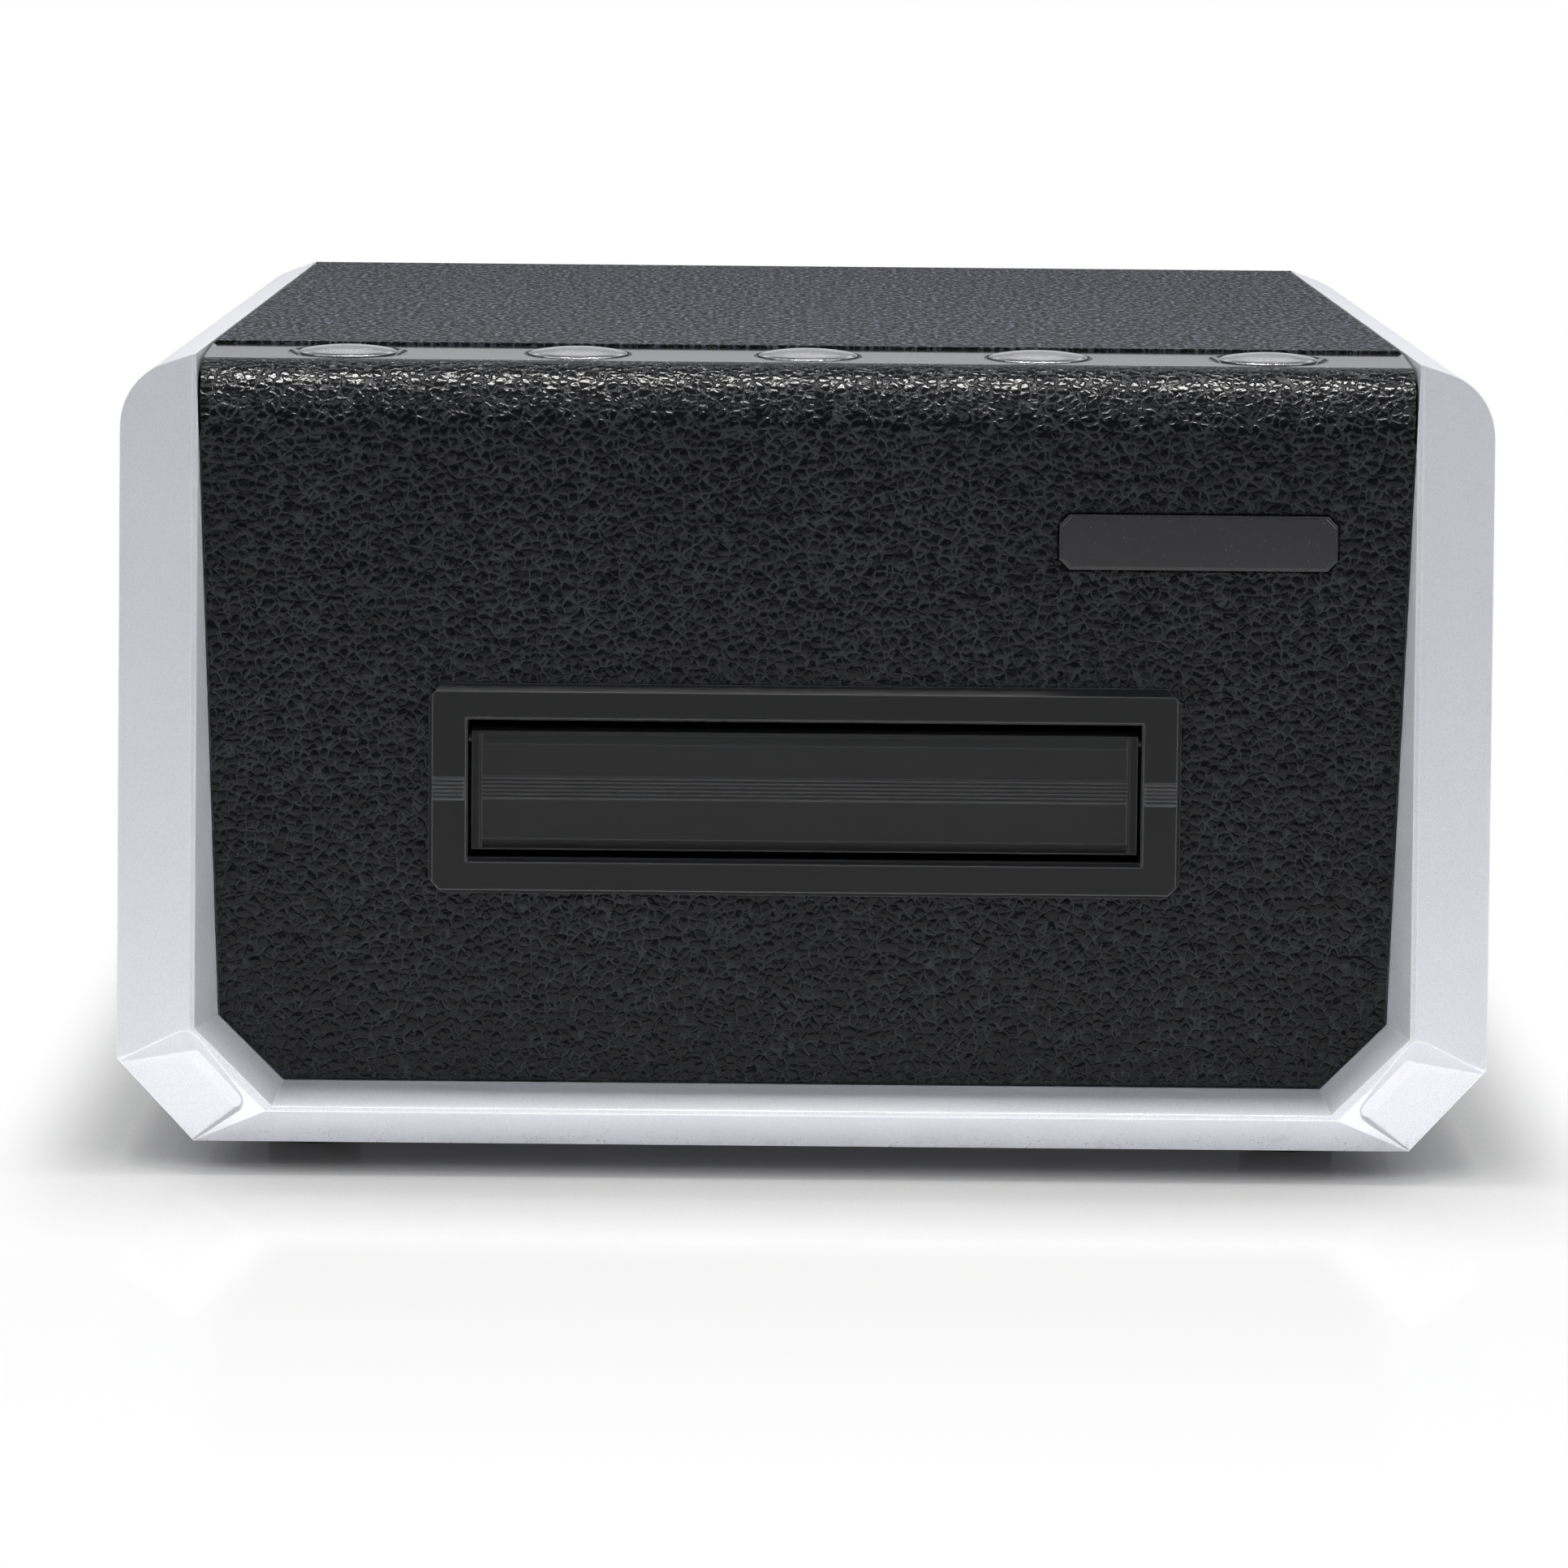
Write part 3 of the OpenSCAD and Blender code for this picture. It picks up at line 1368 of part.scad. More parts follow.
module chip(x, y, w, d, h) {
    block([x - w / 2, x + w / 2], [y - d / 2, y + d / 2], [board_top - eps, board_top + h]);
}

module main_board() {
    color(board) {
        difference() {
            block([-stand_x - 6, stand_x + 6], main_y, [board_z, board_top]);
            corners(stand_x, tab_y) rod_z(0, 0, 0, body_h, screw_d);
        }
        chip(-14, 30, 20, 20, 1.6);
        chip(18, 40, 12, 8, 1.4);
        chip(-8, 2, 16, 10, 1.2);
        chip(34, 6, 9, 7, 2);
        chip(-40, 72, 14, 5, 5.5);
        chip(-44, 16, 5, 16, 6);
        for (k = [0:2]) {
            rod_z(30 + k * 11, 78, board_top - eps, board_top + 11, 8);
        }
        chip(4, 84, 12, 12, 5);
        chip(cable_x, main_y[0] + 6, 14, 5, 3);
        chip(-stand_x + 4, (cable_y[0] + cable_y[1]) / 2, 5, 9, 3);
    }
}

module board_standoffs() {
    color(brass) for (sx = [-1, 1], sy = [-1, 1]) {
        translate([sx * stand_x, sy * tab_y, plate_top + 0.02]) difference() {
            cylinder(d = 6, h = board_z - plate_top - 0.04, $fn = 6);
            translate([0, 0, -1]) cylinder(d = pilot_d, h = 10);
        }
    }
}

// Square serial socket with a keyed roof and a tongue.
module usb_socket() {
    y1 = panel_y - 0.4;
    cz = board_top + usb_h / 2;
    color(steel) difference() {
        block([usb_x - usb_w / 2, usb_x + usb_w / 2], [y1 - 16, y1],
            [board_top + 0.02, board_top + usb_h]);
        difference() {
            translate([usb_x, 0, cz]) sweep_y(y1 - 9, y1 + 1) polygon([[-4.2, -3.9], [4.2, -3.9],
                [4.2, 2.2], [2.6, 3.9], [-2.6, 3.9], [-4.2, 2.2]]);
            block([usb_x - 2.8, usb_x + 2.8], [y1 - 9.5, y1 - 1], [cz - 1.6, cz + 1.6]);
        }
    }
}

// Low-voltage barrel socket with its centre pin.
module power_jack() {
    y1 = panel_y - 0.4;
    cz = board_top + 6;
    color(gloss) difference() {
        block([jack_x - jack_w / 2, jack_x + jack_w / 2], [y1 - 14, y1],
            [board_top + 0.02, board_top + jack_h]);
        difference() {
            translate([jack_x, y1 - 9, cz]) rotate([-90, 0, 0]) cylinder(d = 6, h = 10);
            translate([jack_x, y1 - 9.5, cz]) rotate([-90, 0, 0]) cylinder(d = 2, h = 8.5);
        }
    }
}

// Section of a flat cable along a bent path.
module ribbon(path) {
    last = len(path) - 1;
    polygon(concat(path, [for (i = [last:-1:0])
        let (d = unit(path[min(i + 1, last)] - path[max(i - 1, 0)]))
        path[i] + 0.3 * [-d[1], d[0]]]));
}

// From the sensor out through the left side plate, up and over the main board's edge.
module sensor_cable() {
    x1 = -stand_x - 8;
    color(nylon) sweep_y(cable_y[0], cable_y[1] - 0.4) ribbon([[-13.4, cable_z],
        [x1 + 2, cable_z], [x1, cable_z + 2], [x1, board_top + 4], [x1 + 2, board_top + 5],
        [-stand_x + 1, board_top + 5], [-stand_x + 2.5, board_top + 3.05]]);
}

// From under the button board back to the main board's front edge.
module button_cable() {
    z0 = strip_z - board_drop - board_t - 3.4;
    color(nylon) sweep_x(cable_x - 5, cable_x + 5) ribbon([[strip_y + 6, z0],
        [strip_y + 10, z0 - 3], [main_y[0] + 2, board_top + 8], [main_y[0] + 5, board_top + 3.1]]);
}

lower_case();
front_panel();
rear_panel();
top_cover();
button_strip();
badge_plate();
front_bezel();
rear_bezel();
front_flap();
rear_flap();
front_flap_pin();
rear_flap_pin();
power_button();
eject_button();
slide_button();
colour_button();
mono_button();
rubber_feet();
case_screws();
left_side_plate();
right_side_plate();
tunnel_floor();
tunnel_roof();
scan_window();
lamp_housing();
light_diffuser();
lamp_board();
optics_housing();
mirror_glass();
lens_barrel();
lens_glass();
sensor_board();
stepper_motor();
motor_shaft();
motor_pinion();
reduction_gear();
reduction_axle();
drive_shaft();
drive_rollers();
drive_gear();
drive_pulley();
rear_shaft();
rear_rollers();
rear_pulley();
drive_belt();
shaft_bushes();
front_pinch_rollers();
rear_pinch_rollers();
chassis_screws();
board_standoffs();
main_board();
usb_socket();
power_jack();
button_board();
button_switches();
sensor_cable();
button_cable();
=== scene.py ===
import json
import math

import bmesh
import bpy
from mathutils import Matrix, Vector


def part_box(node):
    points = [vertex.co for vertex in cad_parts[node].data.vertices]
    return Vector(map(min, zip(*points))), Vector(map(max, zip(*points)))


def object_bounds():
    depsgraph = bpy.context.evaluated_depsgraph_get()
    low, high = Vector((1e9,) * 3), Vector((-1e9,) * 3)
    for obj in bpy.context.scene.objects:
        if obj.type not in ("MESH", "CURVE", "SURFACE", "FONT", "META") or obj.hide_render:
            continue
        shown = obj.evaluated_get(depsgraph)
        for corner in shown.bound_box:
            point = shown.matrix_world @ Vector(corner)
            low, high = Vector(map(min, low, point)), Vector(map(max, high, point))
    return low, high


# Looks of the motorised film scanner: materials for every CAD node, a pale studio floor, soft
# lamps and the camera of the photograph.

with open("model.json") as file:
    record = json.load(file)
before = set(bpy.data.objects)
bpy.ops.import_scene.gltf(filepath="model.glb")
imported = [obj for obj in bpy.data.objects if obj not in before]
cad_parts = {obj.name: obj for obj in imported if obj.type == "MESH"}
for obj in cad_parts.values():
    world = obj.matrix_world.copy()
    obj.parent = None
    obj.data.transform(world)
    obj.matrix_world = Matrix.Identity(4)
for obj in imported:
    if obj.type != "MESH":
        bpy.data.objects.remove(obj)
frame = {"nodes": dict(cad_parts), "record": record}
FRAME_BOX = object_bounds()

MM = 0.001
HALF_WIDTH_MM, HALF_LENGTH_MM = FRAME_BOX[1].x / MM, FRAME_BOX[1].y / MM
BUTTONS = ["power_button", "eject_button", "slide_button", "colour_button", "mono_button"]

# ------------------------------------------------------------------ shader helpers


class Value:
    """An output socket in a material, with arithmetic."""

    def __init__(self, shader, socket):
        self.shader = shader
        self.socket = socket

    def math(self, operation, *others):
        inputs = dict(enumerate([self, *others]))
        return self.shader.node("ShaderNodeMath", {"operation": operation}, inputs)

    def __add__(self, other):
        return self.math("ADD", other)

    def __radd__(self, other):
        return self.math("ADD", other)

    def __sub__(self, other):
        return self.math("SUBTRACT", other)

    def __rsub__(self, other):
        return self.math("MULTIPLY", -1.0).math("ADD", other)

    def __mul__(self, other):
        return self.math("MULTIPLY", other)

    def __pow__(self, other):
        return self.math("POWER", other)

    def ramp(self, low, high, to_low=0.0, to_high=1.0, smooth=True):
        """Maps low..high to to_low..to_high, held at both ends."""
        settings = {"interpolation_type": "SMOOTHSTEP" if smooth else "LINEAR", "clamp": True}
        inputs = {"Value": self, "From Min": low, "From Max": high, "To Min": to_low,
                  "To Max": to_high}
        return self.shader.node("ShaderNodeMapRange", settings, inputs)


class Shader:
    """A material under construction, with its node tree."""

    EDGE_SAMPLES = 6

    def __init__(self, name):
        self.material = bpy.data.materials.new(name)
        self.material.use_nodes = True
        self.tree = self.material.node_tree
        self.tree.nodes.clear()
        self.place = None

    def node(self, kind, settings=None, inputs=None, out=0):
        """Adds a node; inputs are linked where they are Values and set where they are not."""
        made = self.tree.nodes.new(kind)
        for key, value in (settings or {}).items():
            setattr(made, key, value)
        for key, value in (inputs or {}).items():
            if isinstance(value, Value):
                self.tree.links.new(value.socket, made.inputs[key])
            else:
                made.inputs[key].default_value = value
        return Value(self, made.outputs[out])

    def mm(self):
        """The point in the shared frame, in millimetres."""
        if self.place is None:
            coords = self.node("ShaderNodeTexCoord", out="Object")
            self.place = self.node("ShaderNodeVectorMath", {"operation": "SCALE"},
                                   {0: coords, "Scale": 1.0 / MM})
        return self.place

    def axis(self, letter):
        """One coordinate of the point, in millimetres."""
        return self.node("ShaderNodeSeparateXYZ", None, {0: self.mm()}, out=letter)

    def stretch(self, x, y, z):
        """The point with each axis scaled, for grain that runs along one of them."""
        return self.node("ShaderNodeVectorMath", {"operation": "MULTIPLY"},
                         {0: self.mm(), 1: (x, y, z)})

    def noise(self, size, detail=2.0, rough=0.5, at=None):
        """Noise of about the given size in millimetres, 0 to 1 around 0.5."""
        inputs = {"Vector": at or self.mm(), "Scale": 1.0 / size, "Detail": detail,
                  "Roughness": rough}
        return self.node("ShaderNodeTexNoise", None, inputs)

    def warp(self, size, amount):
        """The point pushed about by noise, in millimetres."""
        push = self.node("ShaderNodeTexNoise", None,
                         {"Vector": self.mm(), "Scale": 1.0 / size, "Detail": 2.0}, out=1)
        centred = self.node("ShaderNodeVectorMath", {"operation": "SUBTRACT"},
                            {0: push, 1: (0.5, 0.5, 0.5)})
        scaled = self.node("ShaderNodeVectorMath", {"operation": "SCALE"},
                           {0: centred, "Scale": amount})
        return self.node("ShaderNodeVectorMath", {"operation": "ADD"}, {0: self.mm(), 1: scaled})

    def cells(self, size, feature="F1", at=None, randomness=1.0):
        """Distance in a Voronoi pattern of the given cell size, in cells."""
        inputs = {"Vector": at or self.mm(), "Scale": 1.0 / size, "Randomness": randomness}
        return self.node("ShaderNodeTexVoronoi", {"feature": feature}, inputs)

    def mix(self, factor, first, second):
        """The first colour where factor is 0, the second where it is 1."""
        settings = {"data_type": "RGBA"}
        return self.node("ShaderNodeMix", settings, {0: factor, 6: first, 7: second}, out=2)

    def bump(self, height, distance_mm, strength=1.0, normal=None):
        """A normal that follows a height of 0 to 1, which stands for the given distance."""
        inputs = {"Height": height, "Distance": distance_mm * MM, "Strength": strength}
        if normal is not None:
            inputs["Normal"] = normal
        return self.node("ShaderNodeBump", None, inputs)

    def rounded(self, radius_mm):
        """A normal that turns the solid's edges into small radii."""
        return self.node("ShaderNodeBevel", {"samples": self.EDGE_SAMPLES},
                         {"Radius": radius_mm * MM})

    def edges(self, radius_mm, low, high):
        """1 along the solid's edges, 0 on its faces."""
        true = self.node("ShaderNodeNewGeometry", out="True Normal")
        agree = self.node("ShaderNodeVectorMath", {"operation": "DOT_PRODUCT"},
                          {0: self.rounded(radius_mm), 1: true}, out="Value")
        return (1.0 - agree).ramp(low, high)

    def surface(self, **inputs):
        """The Principled surface and the output; names in inputs use _ for a space."""
        named = {key.replace("_", " "): value for key, value in inputs.items()}
        return self.output(self.node("ShaderNodeBsdfPrincipled", None, named, out="BSDF"))

    def output(self, shade):
        end = self.tree.nodes.new("ShaderNodeOutputMaterial")
        self.tree.links.new(shade.socket, end.inputs["Surface"])
        return self.material


def grey(v, tint=(1.0, 1.0, 1.0)):
    """A colour of brightness v, leaning to the tint."""
    return (v * tint[0], v * tint[1], v * tint[2], 1.0)


# ------------------------------------------------------------------ materials


def silver_paint():
    """Silver paint film on moulded plastic: fine flake, faint orange peel, dulled near the desk,
    and a painted highlight, a paler colour, along its edges.
    """
    flake_mm, peel_mm, cloud_mm = 0.16, 2.2, 38.0
    rubbed_below_mm, clean_above_mm = 3.0, 9.0
    s = Shader("silver_plastic")
    flake = s.noise(flake_mm, 1.0, 0.6)
    peel = s.noise(peel_mm, 2.0, 0.5)
    cloud = s.noise(cloud_mm, 3.0, 0.55)
    low = s.axis("Z").ramp(rubbed_below_mm, clean_above_mm, 1.0, 0.0)
    scuff = s.cells(5.0, "DISTANCE_TO_EDGE", s.warp(6.0, 5.0)).ramp(0.0, 0.05, 1.0, 0.0)
    rub = (low * s.noise(3.0, 4.0, 0.7).ramp(0.52, 0.75)) * 0.35
    base = s.mix(flake.ramp(0.3, 0.72), grey(0.66, (0.97, 0.985, 1.06)),
                 grey(0.76, (0.98, 0.99, 1.05)))
    base = s.mix(cloud.ramp(0.35, 0.65, 0.0, 0.18), base, grey(0.67, (1.0, 1.0, 1.05)))
    base = s.mix(rub, base, grey(0.42, (1.0, 0.99, 0.97)))
    # Painted highlight: the colour is lightened to pale grey along the edges.
    painted_highlight_edges = s.edges(radius_mm=0.3, low=0.006, high=0.05)
    base = s.mix(painted_highlight_edges * 0.8, base, grey(0.92))
    rough = 0.34 + (flake - 0.5) * 0.22 + (cloud - 0.5) * 0.08 + rub * 0.4 - scuff * low * 0.05
    height = flake * 0.35 + peel * 0.65
    normal = s.bump(height, 0.012, 1.0, s.rounded(0.25))
    return s.surface(Base_Color=base, Metallic=0.5, Roughness=rough, Normal=normal,
                     Coat_Weight=0.12, Coat_Roughness=0.25)


def leather_plastic(name, dull, tone, glint_share):
    """Leather grain: smooth dark pebbles, some of them run together, with a painted highlight: the
    creases between them are painted paler.

    dull is the roughness of the pebbles, tone the brightness of the painted highlight in the
    creases and fleck the share of painted glints, bright specks."""
    pebble_mm, small_pebble_mm, glint_mm, relief_mm = 1.2, 0.6, 1.3, 0.2
    uneven = 0.95
    s = Shader(name)
    bent = s.warp(2.0, 1.3)
    edge = s.cells(pebble_mm, "DISTANCE_TO_EDGE", bent, uneven)
    round_top = s.cells(pebble_mm, "F1", bent, uneven)
    small = s.cells(small_pebble_mm, "F1", s.warp(1.1, 0.5))
    merge = s.noise(1.7, 1.0, 0.5).ramp(0.45, 0.64)
    dome = edge.ramp(0.0, 0.2) * (1.0 - merge * 0.75) + merge * 0.75
    swell = s.noise(2.4, 2.0, 0.5)
    micro = s.noise(0.14, 2.0, 0.6)
    height = dome * 0.55 - round_top * 0.45 - small * 0.16 + swell * 0.7 + micro * 0.02
    # Painted highlight: thin pale lines along the pebbles' rims, stronger and weaker in broad
    # patches.
    rim_highlight_strength = s.noise(24.0, 3.0, 0.6).ramp(0.3, 0.7, 0.6, 1.2, smooth=False)
    painted_rim_lines = edge.ramp(0.0, 0.1, 1.0, 0.0) * round_top.ramp(0.3, 0.55) * (1.0 - merge) * rim_highlight_strength
    base = s.mix(painted_rim_lines, grey(0.0024, (0.9, 1.0, 1.25)), grey(tone, (0.94, 1.0, 1.15)))
    # Painted glints: bright bluish specks mixed into the colour, their share set by fleck.
    spark = s.noise(glint_mm, 2.0, 0.6, s.stretch(1.7, 0.75, 1.0)).ramp(0.5, 0.6)
    base = s.mix(spark * glint_share, base, grey(0.09, (0.9, 0.97, 1.25)))
    rough = dull + painted_rim_lines * 0.3 + (1.0 - dome) * 0.14 + (micro - 0.5) * 0.08 - spark * glint_share * 0.12
    normal = s.bump(height, relief_mm, 1.0, s.rounded(0.3))
    return s.surface(Base_Color=base, Roughness=rough, Specular_IOR_Level=0.2, Normal=normal)


def gloss_black():
    """Polished dark plastic with hairline wipe marks and a trace of dust."""
    s = Shader("gloss_strip")
    wipe = s.noise(0.5, 2.0, 0.6, s.stretch(0.03, 1.0, 1.0)).ramp(0.55, 0.75)
    dust = s.noise(0.35, 1.0, 0.5).ramp(0.7, 0.8)
    wave = s.noise(14.0, 1.0, 0.4)
    base = s.mix(dust * 0.5, grey(0.011, (1.0, 1.0, 1.1)), grey(0.07))
    rough = 0.13 + wipe * 0.07 + dust * 0.3
    normal = s.bump(wave, 0.02, 0.5, s.rounded(0.25))
    return s.surface(Base_Color=base, Roughness=rough, Coat_Weight=0.35, Coat_Roughness=0.05,
                     Normal=normal)


def satin_black(name, tone, edge_highlight_tone):
    """Fine spark-eroded satin finish, glossier where its edges are rubbed; its edges also carry a
    painted highlight, a paler colour.
    """
    s = Shader(name)
    grain = s.noise(0.12, 2.0, 0.6)
    flow = s.noise(16.0, 3.0, 0.55)
    touch = s.noise(5.0, 3.0, 0.6).ramp(0.5, 0.72)
    base = s.mix(grain, grey(tone * 0.75, (0.98, 1.0, 1.06)),
                 grey(tone * 1.25, (0.98, 1.0, 1.05)))
    # Painted highlight: the colour turns paler along the edges, towards edge_highlight_tone.
    painted_highlight_edges = s.edges(radius_mm=0.3, low=0.004, high=0.06)
    base = s.mix(painted_highlight_edges, base, grey(edge_highlight_tone, (0.98, 1.0, 1.04)))
    rough = 0.42 + (grain - 0.5) * 0.18 + (flow - 0.5) * 0.08 - touch * 0.06
    normal = s.bump(grain, 0.012, 0.8, s.rounded(0.22))
    return s.surface(Base_Color=base, Roughness=rough, Specular_IOR_Level=0.24, Normal=normal,
                     Coat_Weight=painted_highlight_edges * 0.7, Coat_Roughness=0.24)


def turned_cap(name, centre):
    """A domed metal cap with fine turned rings about its own axis, which is at centre, and painted
    shade towards its outer edge.
    """
    rings_per_mm = 9.0
    rim_from_mm, rim_to_mm = 5.2, 6.1
    s = Shader(name)
    offset = s.node("ShaderNodeVectorMath", {"operation": "SUBTRACT"},
                    {0: s.mm(), 1: (centre[0], centre[1], 0.0)})
    flat = s.node("ShaderNodeVectorMath", {"operation": "MULTIPLY"}, {0: offset, 1: (1, 1, 0)})
    radius = s.node("ShaderNodeVectorMath", {"operation": "LENGTH"}, {0: flat}, out="Value")
    rings = s.node("ShaderNodeTexNoise", {"noise_dimensions": "1D"},
                   {"W": radius * rings_per_mm, "Detail": 3.0, "Roughness": 0.7})
    scuff = s.noise(0.3, 3.0, 0.6, s.stretch(0.4, 1.6, 1.0)).ramp(0.6, 0.78)
    touch = s.noise(4.0, 2.0, 0.5)
    # Painted shade: the colour darkens towards the cap's outer edge.
    painted_edge_shade = radius.ramp(rim_from_mm, rim_to_mm)
    base = s.mix(rings, grey(0.84, (1.0, 0.99, 0.98)), grey(0.93, (1.0, 0.995, 0.99)))
    base = s.mix(painted_edge_shade * 0.3, base, grey(0.4))
    rough = 0.12 + rings * 0.1 + scuff * 0.12 + (touch - 0.5) * 0.06
    normal = s.bump(rings, 0.006, 1.0, s.rounded(0.15))
    return s.surface(Base_Color=base, Metallic=1.0, Roughness=rough, Normal=normal)


def plain_metal(name, tone, tint, rough, grain_mm):
    """Plated or turned metal with a directional grain and light tarnish."""
    s = Shader(name)
    grain = s.noise(grain_mm, 3.0, 0.65, s.stretch(1.0, 0.08, 1.0))
    spots = s.noise(7.0, 4.0, 0.6)
    base = s.mix(spots.ramp(0.35, 0.7), grey(tone, tint), grey(tone * 0.78, tint))
    mark = rough + (grain - 0.5) * 0.16 + spots.ramp(0.4, 0.8) * 0.1
    normal = s.bump(grain, 0.006, 0.7, s.rounded(0.12))
    return s.surface(Base_Color=base, Metallic=1.0, Roughness=mark, Normal=normal)


def soft_rubber():
    """Matt moulded rubber with a bloom of dust."""
    s = Shader("rubber")
    grain = s.noise(0.2, 2.0, 0.6)
    bloom = s.noise(6.0, 4.0, 0.6).ramp(0.45, 0.75)
    base = s.mix(bloom * 0.5, grey(0.013), grey(0.04, (1.0, 0.99, 0.97)))
    rough = 0.68 + (grain - 0.5) * 0.15 + bloom * 0.1
    return s.surface(Base_Color=base, Roughness=rough, Normal=s.bump(grain, 0.02, 0.8))


def circuit_board():
    """Solder-masked laminate: fine tracks under the mask and pale pads."""
    fields_per_mm, tracks_per_field, pad_pitch_mm = 0.42, 7.0, 3.1
    s = Shader("circuit_board")
    field = s.node("ShaderNodeTexVoronoi", {"feature": "F1", "distance": "CHEBYCHEV"},
                   {"Vector": s.mm(), "Scale": fields_per_mm, "Randomness": 0.6})
    track = (field * tracks_per_field).math("PINGPONG", 0.5).ramp(0.12, 0.2)
    pad = s.cells(pad_pitch_mm, "F1").ramp(0.1, 0.14, 1.0, 0.0)
    weave = s.noise(0.4, 1.0, 0.5)
    base = s.mix(track, (0.008, 0.085, 0.035, 1), (0.014, 0.13, 0.055, 1))
    base = s.mix(pad, base, (0.55, 0.52, 0.42, 1))
    rough = 0.3 + weave * 0.12 + pad * 0.1
    normal = s.bump(track * 0.6 + pad * 0.8 + weave * 0.2, 0.03, 0.7)
    return s.surface(Base_Color=base, Roughness=rough, Coat_Weight=0.3, Normal=normal)


def natural_nylon():
    """Undyed moulded nylon, a little translucent."""
    s = Shader("nylon")
    flow = s.noise(4.0, 3.0, 0.55)
    grain = s.noise(0.25, 2.0, 0.6)
    base = s.mix(flow, (0.66, 0.63, 0.54, 1), (0.76, 0.74, 0.67, 1))
    rough = 0.42 + (grain - 0.5) * 0.15
    return s.surface(Base_Color=base, Roughness=rough, Subsurface_Weight=0.15,
                     Subsurface_Scale=0.002, Normal=s.bump(grain, 0.012, 0.7))


def clear_glass():
    """Clear glass with a faint smear."""
    s = Shader("glass")
    smear = s.noise(9.0, 3.0, 0.55)
    rough = 0.02 + smear.ramp(0.5, 0.8) * 0.05
    tint = s.mix(smear, (0.86, 0.94, 0.93, 1), (0.93, 0.97, 0.97, 1))
    return s.surface(Base_Color=tint, Roughness=rough, Transmission_Weight=0.9, IOR=1.5)


def silvered_mirror():
    """A front-silvered mirror with a trace of haze."""
    s = Shader("mirror_glass")
    haze = s.noise(6.0, 3.0, 0.55)
    base = s.mix(haze, grey(0.86), grey(0.8, (0.98, 1.0, 1.02)))
    return s.surface(Base_Color=base, Metallic=1.0, Roughness=0.02 + haze * 0.03)


def dress():
    """Gives every CAD node its material: its own, or else the one of its slot in the record."""
    made = {
        "silver_plastic": silver_paint(),
        "leather_grain": leather_plastic("leather_grain", 0.19, 0.026, 0.0),
        "gloss_strip": gloss_black(),
        "satin_black": satin_black("satin_black", 0.008, 0.03),
        "steel": plain_metal("steel", 0.56, (1.0, 1.0, 1.01), 0.3, 0.4),
        "dark_steel": plain_metal("dark_steel", 0.05, (1.0, 1.0, 1.04), 0.38, 0.4),
        "brass": plain_metal("brass", 0.6, (1.0, 0.74, 0.36), 0.28, 0.3),
        "rubber": soft_rubber(),
        "circuit_board": circuit_board(),
        "nylon": natural_nylon(),
        "glass": clear_glass(),
        "mirror_glass": silvered_mirror(),
    }
    # The top's leather gets the painted glints, bright specks; the front's leather has none.
    own = {"top_cover": leather_plastic("top_leather", 0.54, 0.02, 0.9),
           "front_flap": satin_black("flap_black", 0.012, 0.045),
           "front_bezel": satin_black("bezel_black", 0.008, 0.075)}
    own["rear_flap"] = own["front_flap"]
    own["rear_bezel"] = own["front_bezel"]
    for node in BUTTONS:
        low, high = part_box(node)
        own[node] = turned_cap(node + "_metal", (low + high) / 2 / MM)
    for part in frame["record"]["subparts"]:
        node = part["node"]
        material = own.get(node) or made[part["material_slot"]]
        materials = frame["nodes"][node].data.materials
        if not materials:
            materials.append(material)
        for i in range(len(materials)):
            materials[i] = material


# ------------------------------------------------------------------ studio


def mesh_object(name, bm):
    mesh = bpy.data.meshes.new(name)
    bm.to_mesh(mesh)
    bm.free()
    made = bpy.data.objects.new(name, mesh)
    bpy.context.scene.collection.objects.link(made)
    return made


def studio_floor():
    """A pale floor with the lamps' shadow, a painted shadow in its emission close to the body and a
    faint reflection, out to white; clear from below.
    """
    reach, shadow_reach = 30.0, 0.06
    fade_from_mm, fade_to_mm = 12.0, 200.0
    side_weight = 100.0
    bm = bmesh.new()
    bmesh.ops.create_grid(bm, x_segments=8, y_segments=8, size=reach)
    made = mesh_object("studio_floor", bm)
    s = Shader("studio_floor")
    # How far the point lies outside the body's outline, counted longer towards the sides.
    x = (s.axis("X").math("ABSOLUTE") - HALF_WIDTH_MM).math("MAXIMUM", 0.0)
    y = (s.axis("Y").math("ABSOLUTE") - HALF_LENGTH_MM).math("MAXIMUM", 0.0)
    gap = (x * x * side_weight + y * y) ** 0.5
    seen = s.node("ShaderNodeLightPath", out="Is Camera Ray")
    mirrored = s.node("ShaderNodeLightPath", out="Is Glossy Ray")
    # Painted shadow: for camera rays the floor's emission darkens with ambient occlusion close to
    # the body.
    near = s.node("ShaderNodeAmbientOcclusion", {"samples": 8}, {"Distance": shadow_reach},
                  out="AO")
    tone = s.mix(seen, s.mix(mirrored, grey(0.96), grey(0.8)), grey(0.14))
    matt = s.node("ShaderNodeBsdfDiffuse", None, {"Color": tone})
    gloss = s.node("ShaderNodeBsdfGlossy", None, {"Color": grey(0.9), "Roughness": 0.06})
    floor_surface = s.node("ShaderNodeMixShader", None, {0: 0.16, 1: matt, 2: gloss})
    painted_shadow_glow = s.mix(seen, grey(0.06), s.mix(near ** 1.5, grey(0.012), grey(0.67)))
    emission_shader = s.node("ShaderNodeEmission", None, {"Color": painted_shadow_glow, "Strength": 1.0})
    floor_surface = s.node("ShaderNodeAddShader", None, {0: floor_surface, 1: emission_shader})
    white = s.node("ShaderNodeEmission", None, {"Color": grey(1.0), "Strength": 1.0})
    fade = gap.ramp(fade_from_mm, fade_to_mm) * seen
    shade = s.node("ShaderNodeMixShader", None, {0: fade, 1: floor_surface, 2: white})
    below = s.node("ShaderNodeNewGeometry", out="Backfacing")
    clear = s.node("ShaderNodeBsdfTransparent")
    s.output(s.node("ShaderNodeMixShader", None, {0: below, 1: shade, 2: clear}))
    made.data.materials.append(s.material)


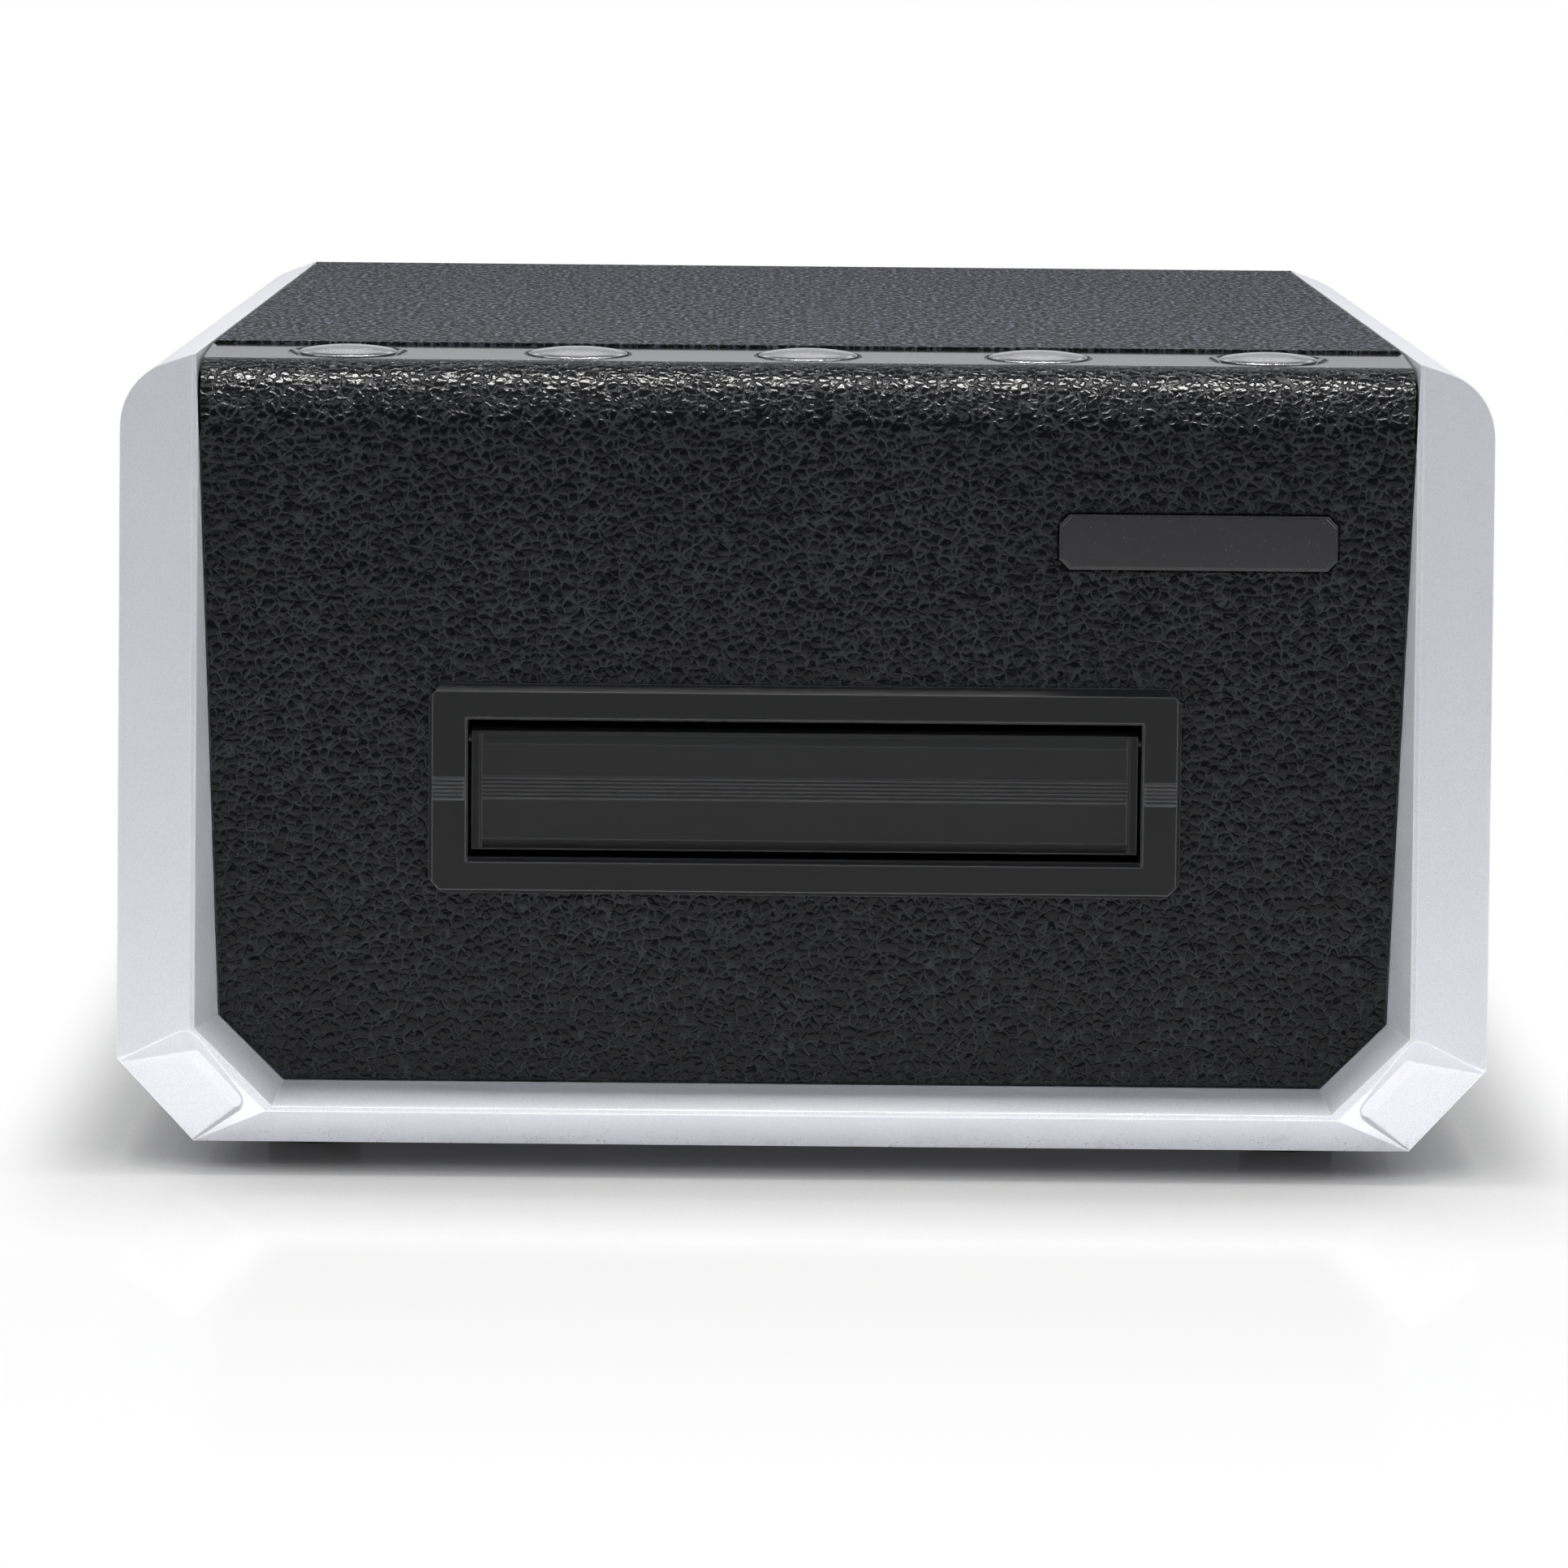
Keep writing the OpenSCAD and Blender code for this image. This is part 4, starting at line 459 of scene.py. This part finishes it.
def studio_world():
    """White where the camera looks past the object, a dim cool light for every other ray."""
    dim_colour, dim_strength = grey(1.0, (0.92, 0.96, 1.1)), 0.14
    world = bpy.data.worlds.new("studio")
    bpy.context.scene.world = world
    world.use_nodes = True
    tree = world.node_tree
    tree.nodes.clear()
    path = tree.nodes.new("ShaderNodeLightPath")
    white = tree.nodes.new("ShaderNodeBackground")
    dim = tree.nodes.new("ShaderNodeBackground")
    mix = tree.nodes.new("ShaderNodeMixShader")
    out = tree.nodes.new("ShaderNodeOutputWorld")
    white.inputs["Color"].default_value = grey(1.0)
    white.inputs["Strength"].default_value = 1.0
    dim.inputs["Color"].default_value = dim_colour
    dim.inputs["Strength"].default_value = dim_strength
    tree.links.new(path.outputs["Is Camera Ray"], mix.inputs[0])
    tree.links.new(dim.outputs[0], mix.inputs[1])
    tree.links.new(white.outputs[0], mix.inputs[2])
    tree.links.new(mix.outputs[0], out.inputs["Surface"])


def softbox(name, at, size, watts, tint=(1.0, 1.0, 1.0)):
    """A rectangular lamp that faces the middle of the object; places and sizes in metres."""
    target = Vector((0.0, 0.0, 0.05))
    data = bpy.data.lights.new(name, "AREA")
    data.shape = "RECTANGLE"
    data.size, data.size_y = size
    data.energy = watts
    data.color = tint
    lamp = bpy.data.objects.new(name, data)
    bpy.context.scene.collection.objects.link(lamp)
    lamp.location = at
    lamp.rotation_euler = (target - Vector(at)).to_track_quat("-Z", "Y").to_euler()


def studio_lamps():
    """A narrow lamp over the front edge, soft ones around, and two behind for the top's gloss."""
    warm, cool = (1.0, 0.98, 0.95), (0.97, 0.98, 1.0)
    softbox("key_above", (0.0, -0.085, 0.78), (0.5, 0.06), 9.5, warm)
    softbox("front_high", (0.0, -0.95, 0.85), (1.2, 0.14), 2.6)
    for name, x in (("left_side", -1.05), ("right_side", 1.05)):
        softbox(name, (x, -0.5, 0.9), (0.9, 0.5), 5.1, cool)
    softbox("back_low", (0.0, 1.7, 0.3), (3.0, 0.45), 1.9)
    softbox("back_high", (0.0, 1.5, 0.95), (1.4, 0.22), 1.1)


def photo_camera():
    """The camera fitted to the photograph's corners."""
    lens_mm, sensor_mm = 171.85, 36.0
    place = (-0.00364, -1.0672, 0.1604)
    pan, tilt_down, roll = -0.0011, 0.1167, 0.0093
    data = bpy.data.cameras.new("camera")
    data.sensor_width = sensor_mm
    data.lens = lens_mm
    data.clip_start, data.clip_end = 0.05, 100.0
    camera = bpy.data.objects.new("camera", data)
    bpy.context.scene.collection.objects.link(camera)
    turn = (Matrix.Rotation(pan, 4, "Z") @ Matrix.Rotation(math.pi / 2 - tilt_down, 4, "X")
            @ Matrix.Rotation(roll, 4, "Z"))
    camera.matrix_world = Matrix.Translation(place) @ turn
    bpy.context.scene.camera = camera


dress()
studio_floor()
studio_world()
studio_lamps()
photo_camera()
bpy.context.scene.view_settings.view_transform = "Standard"
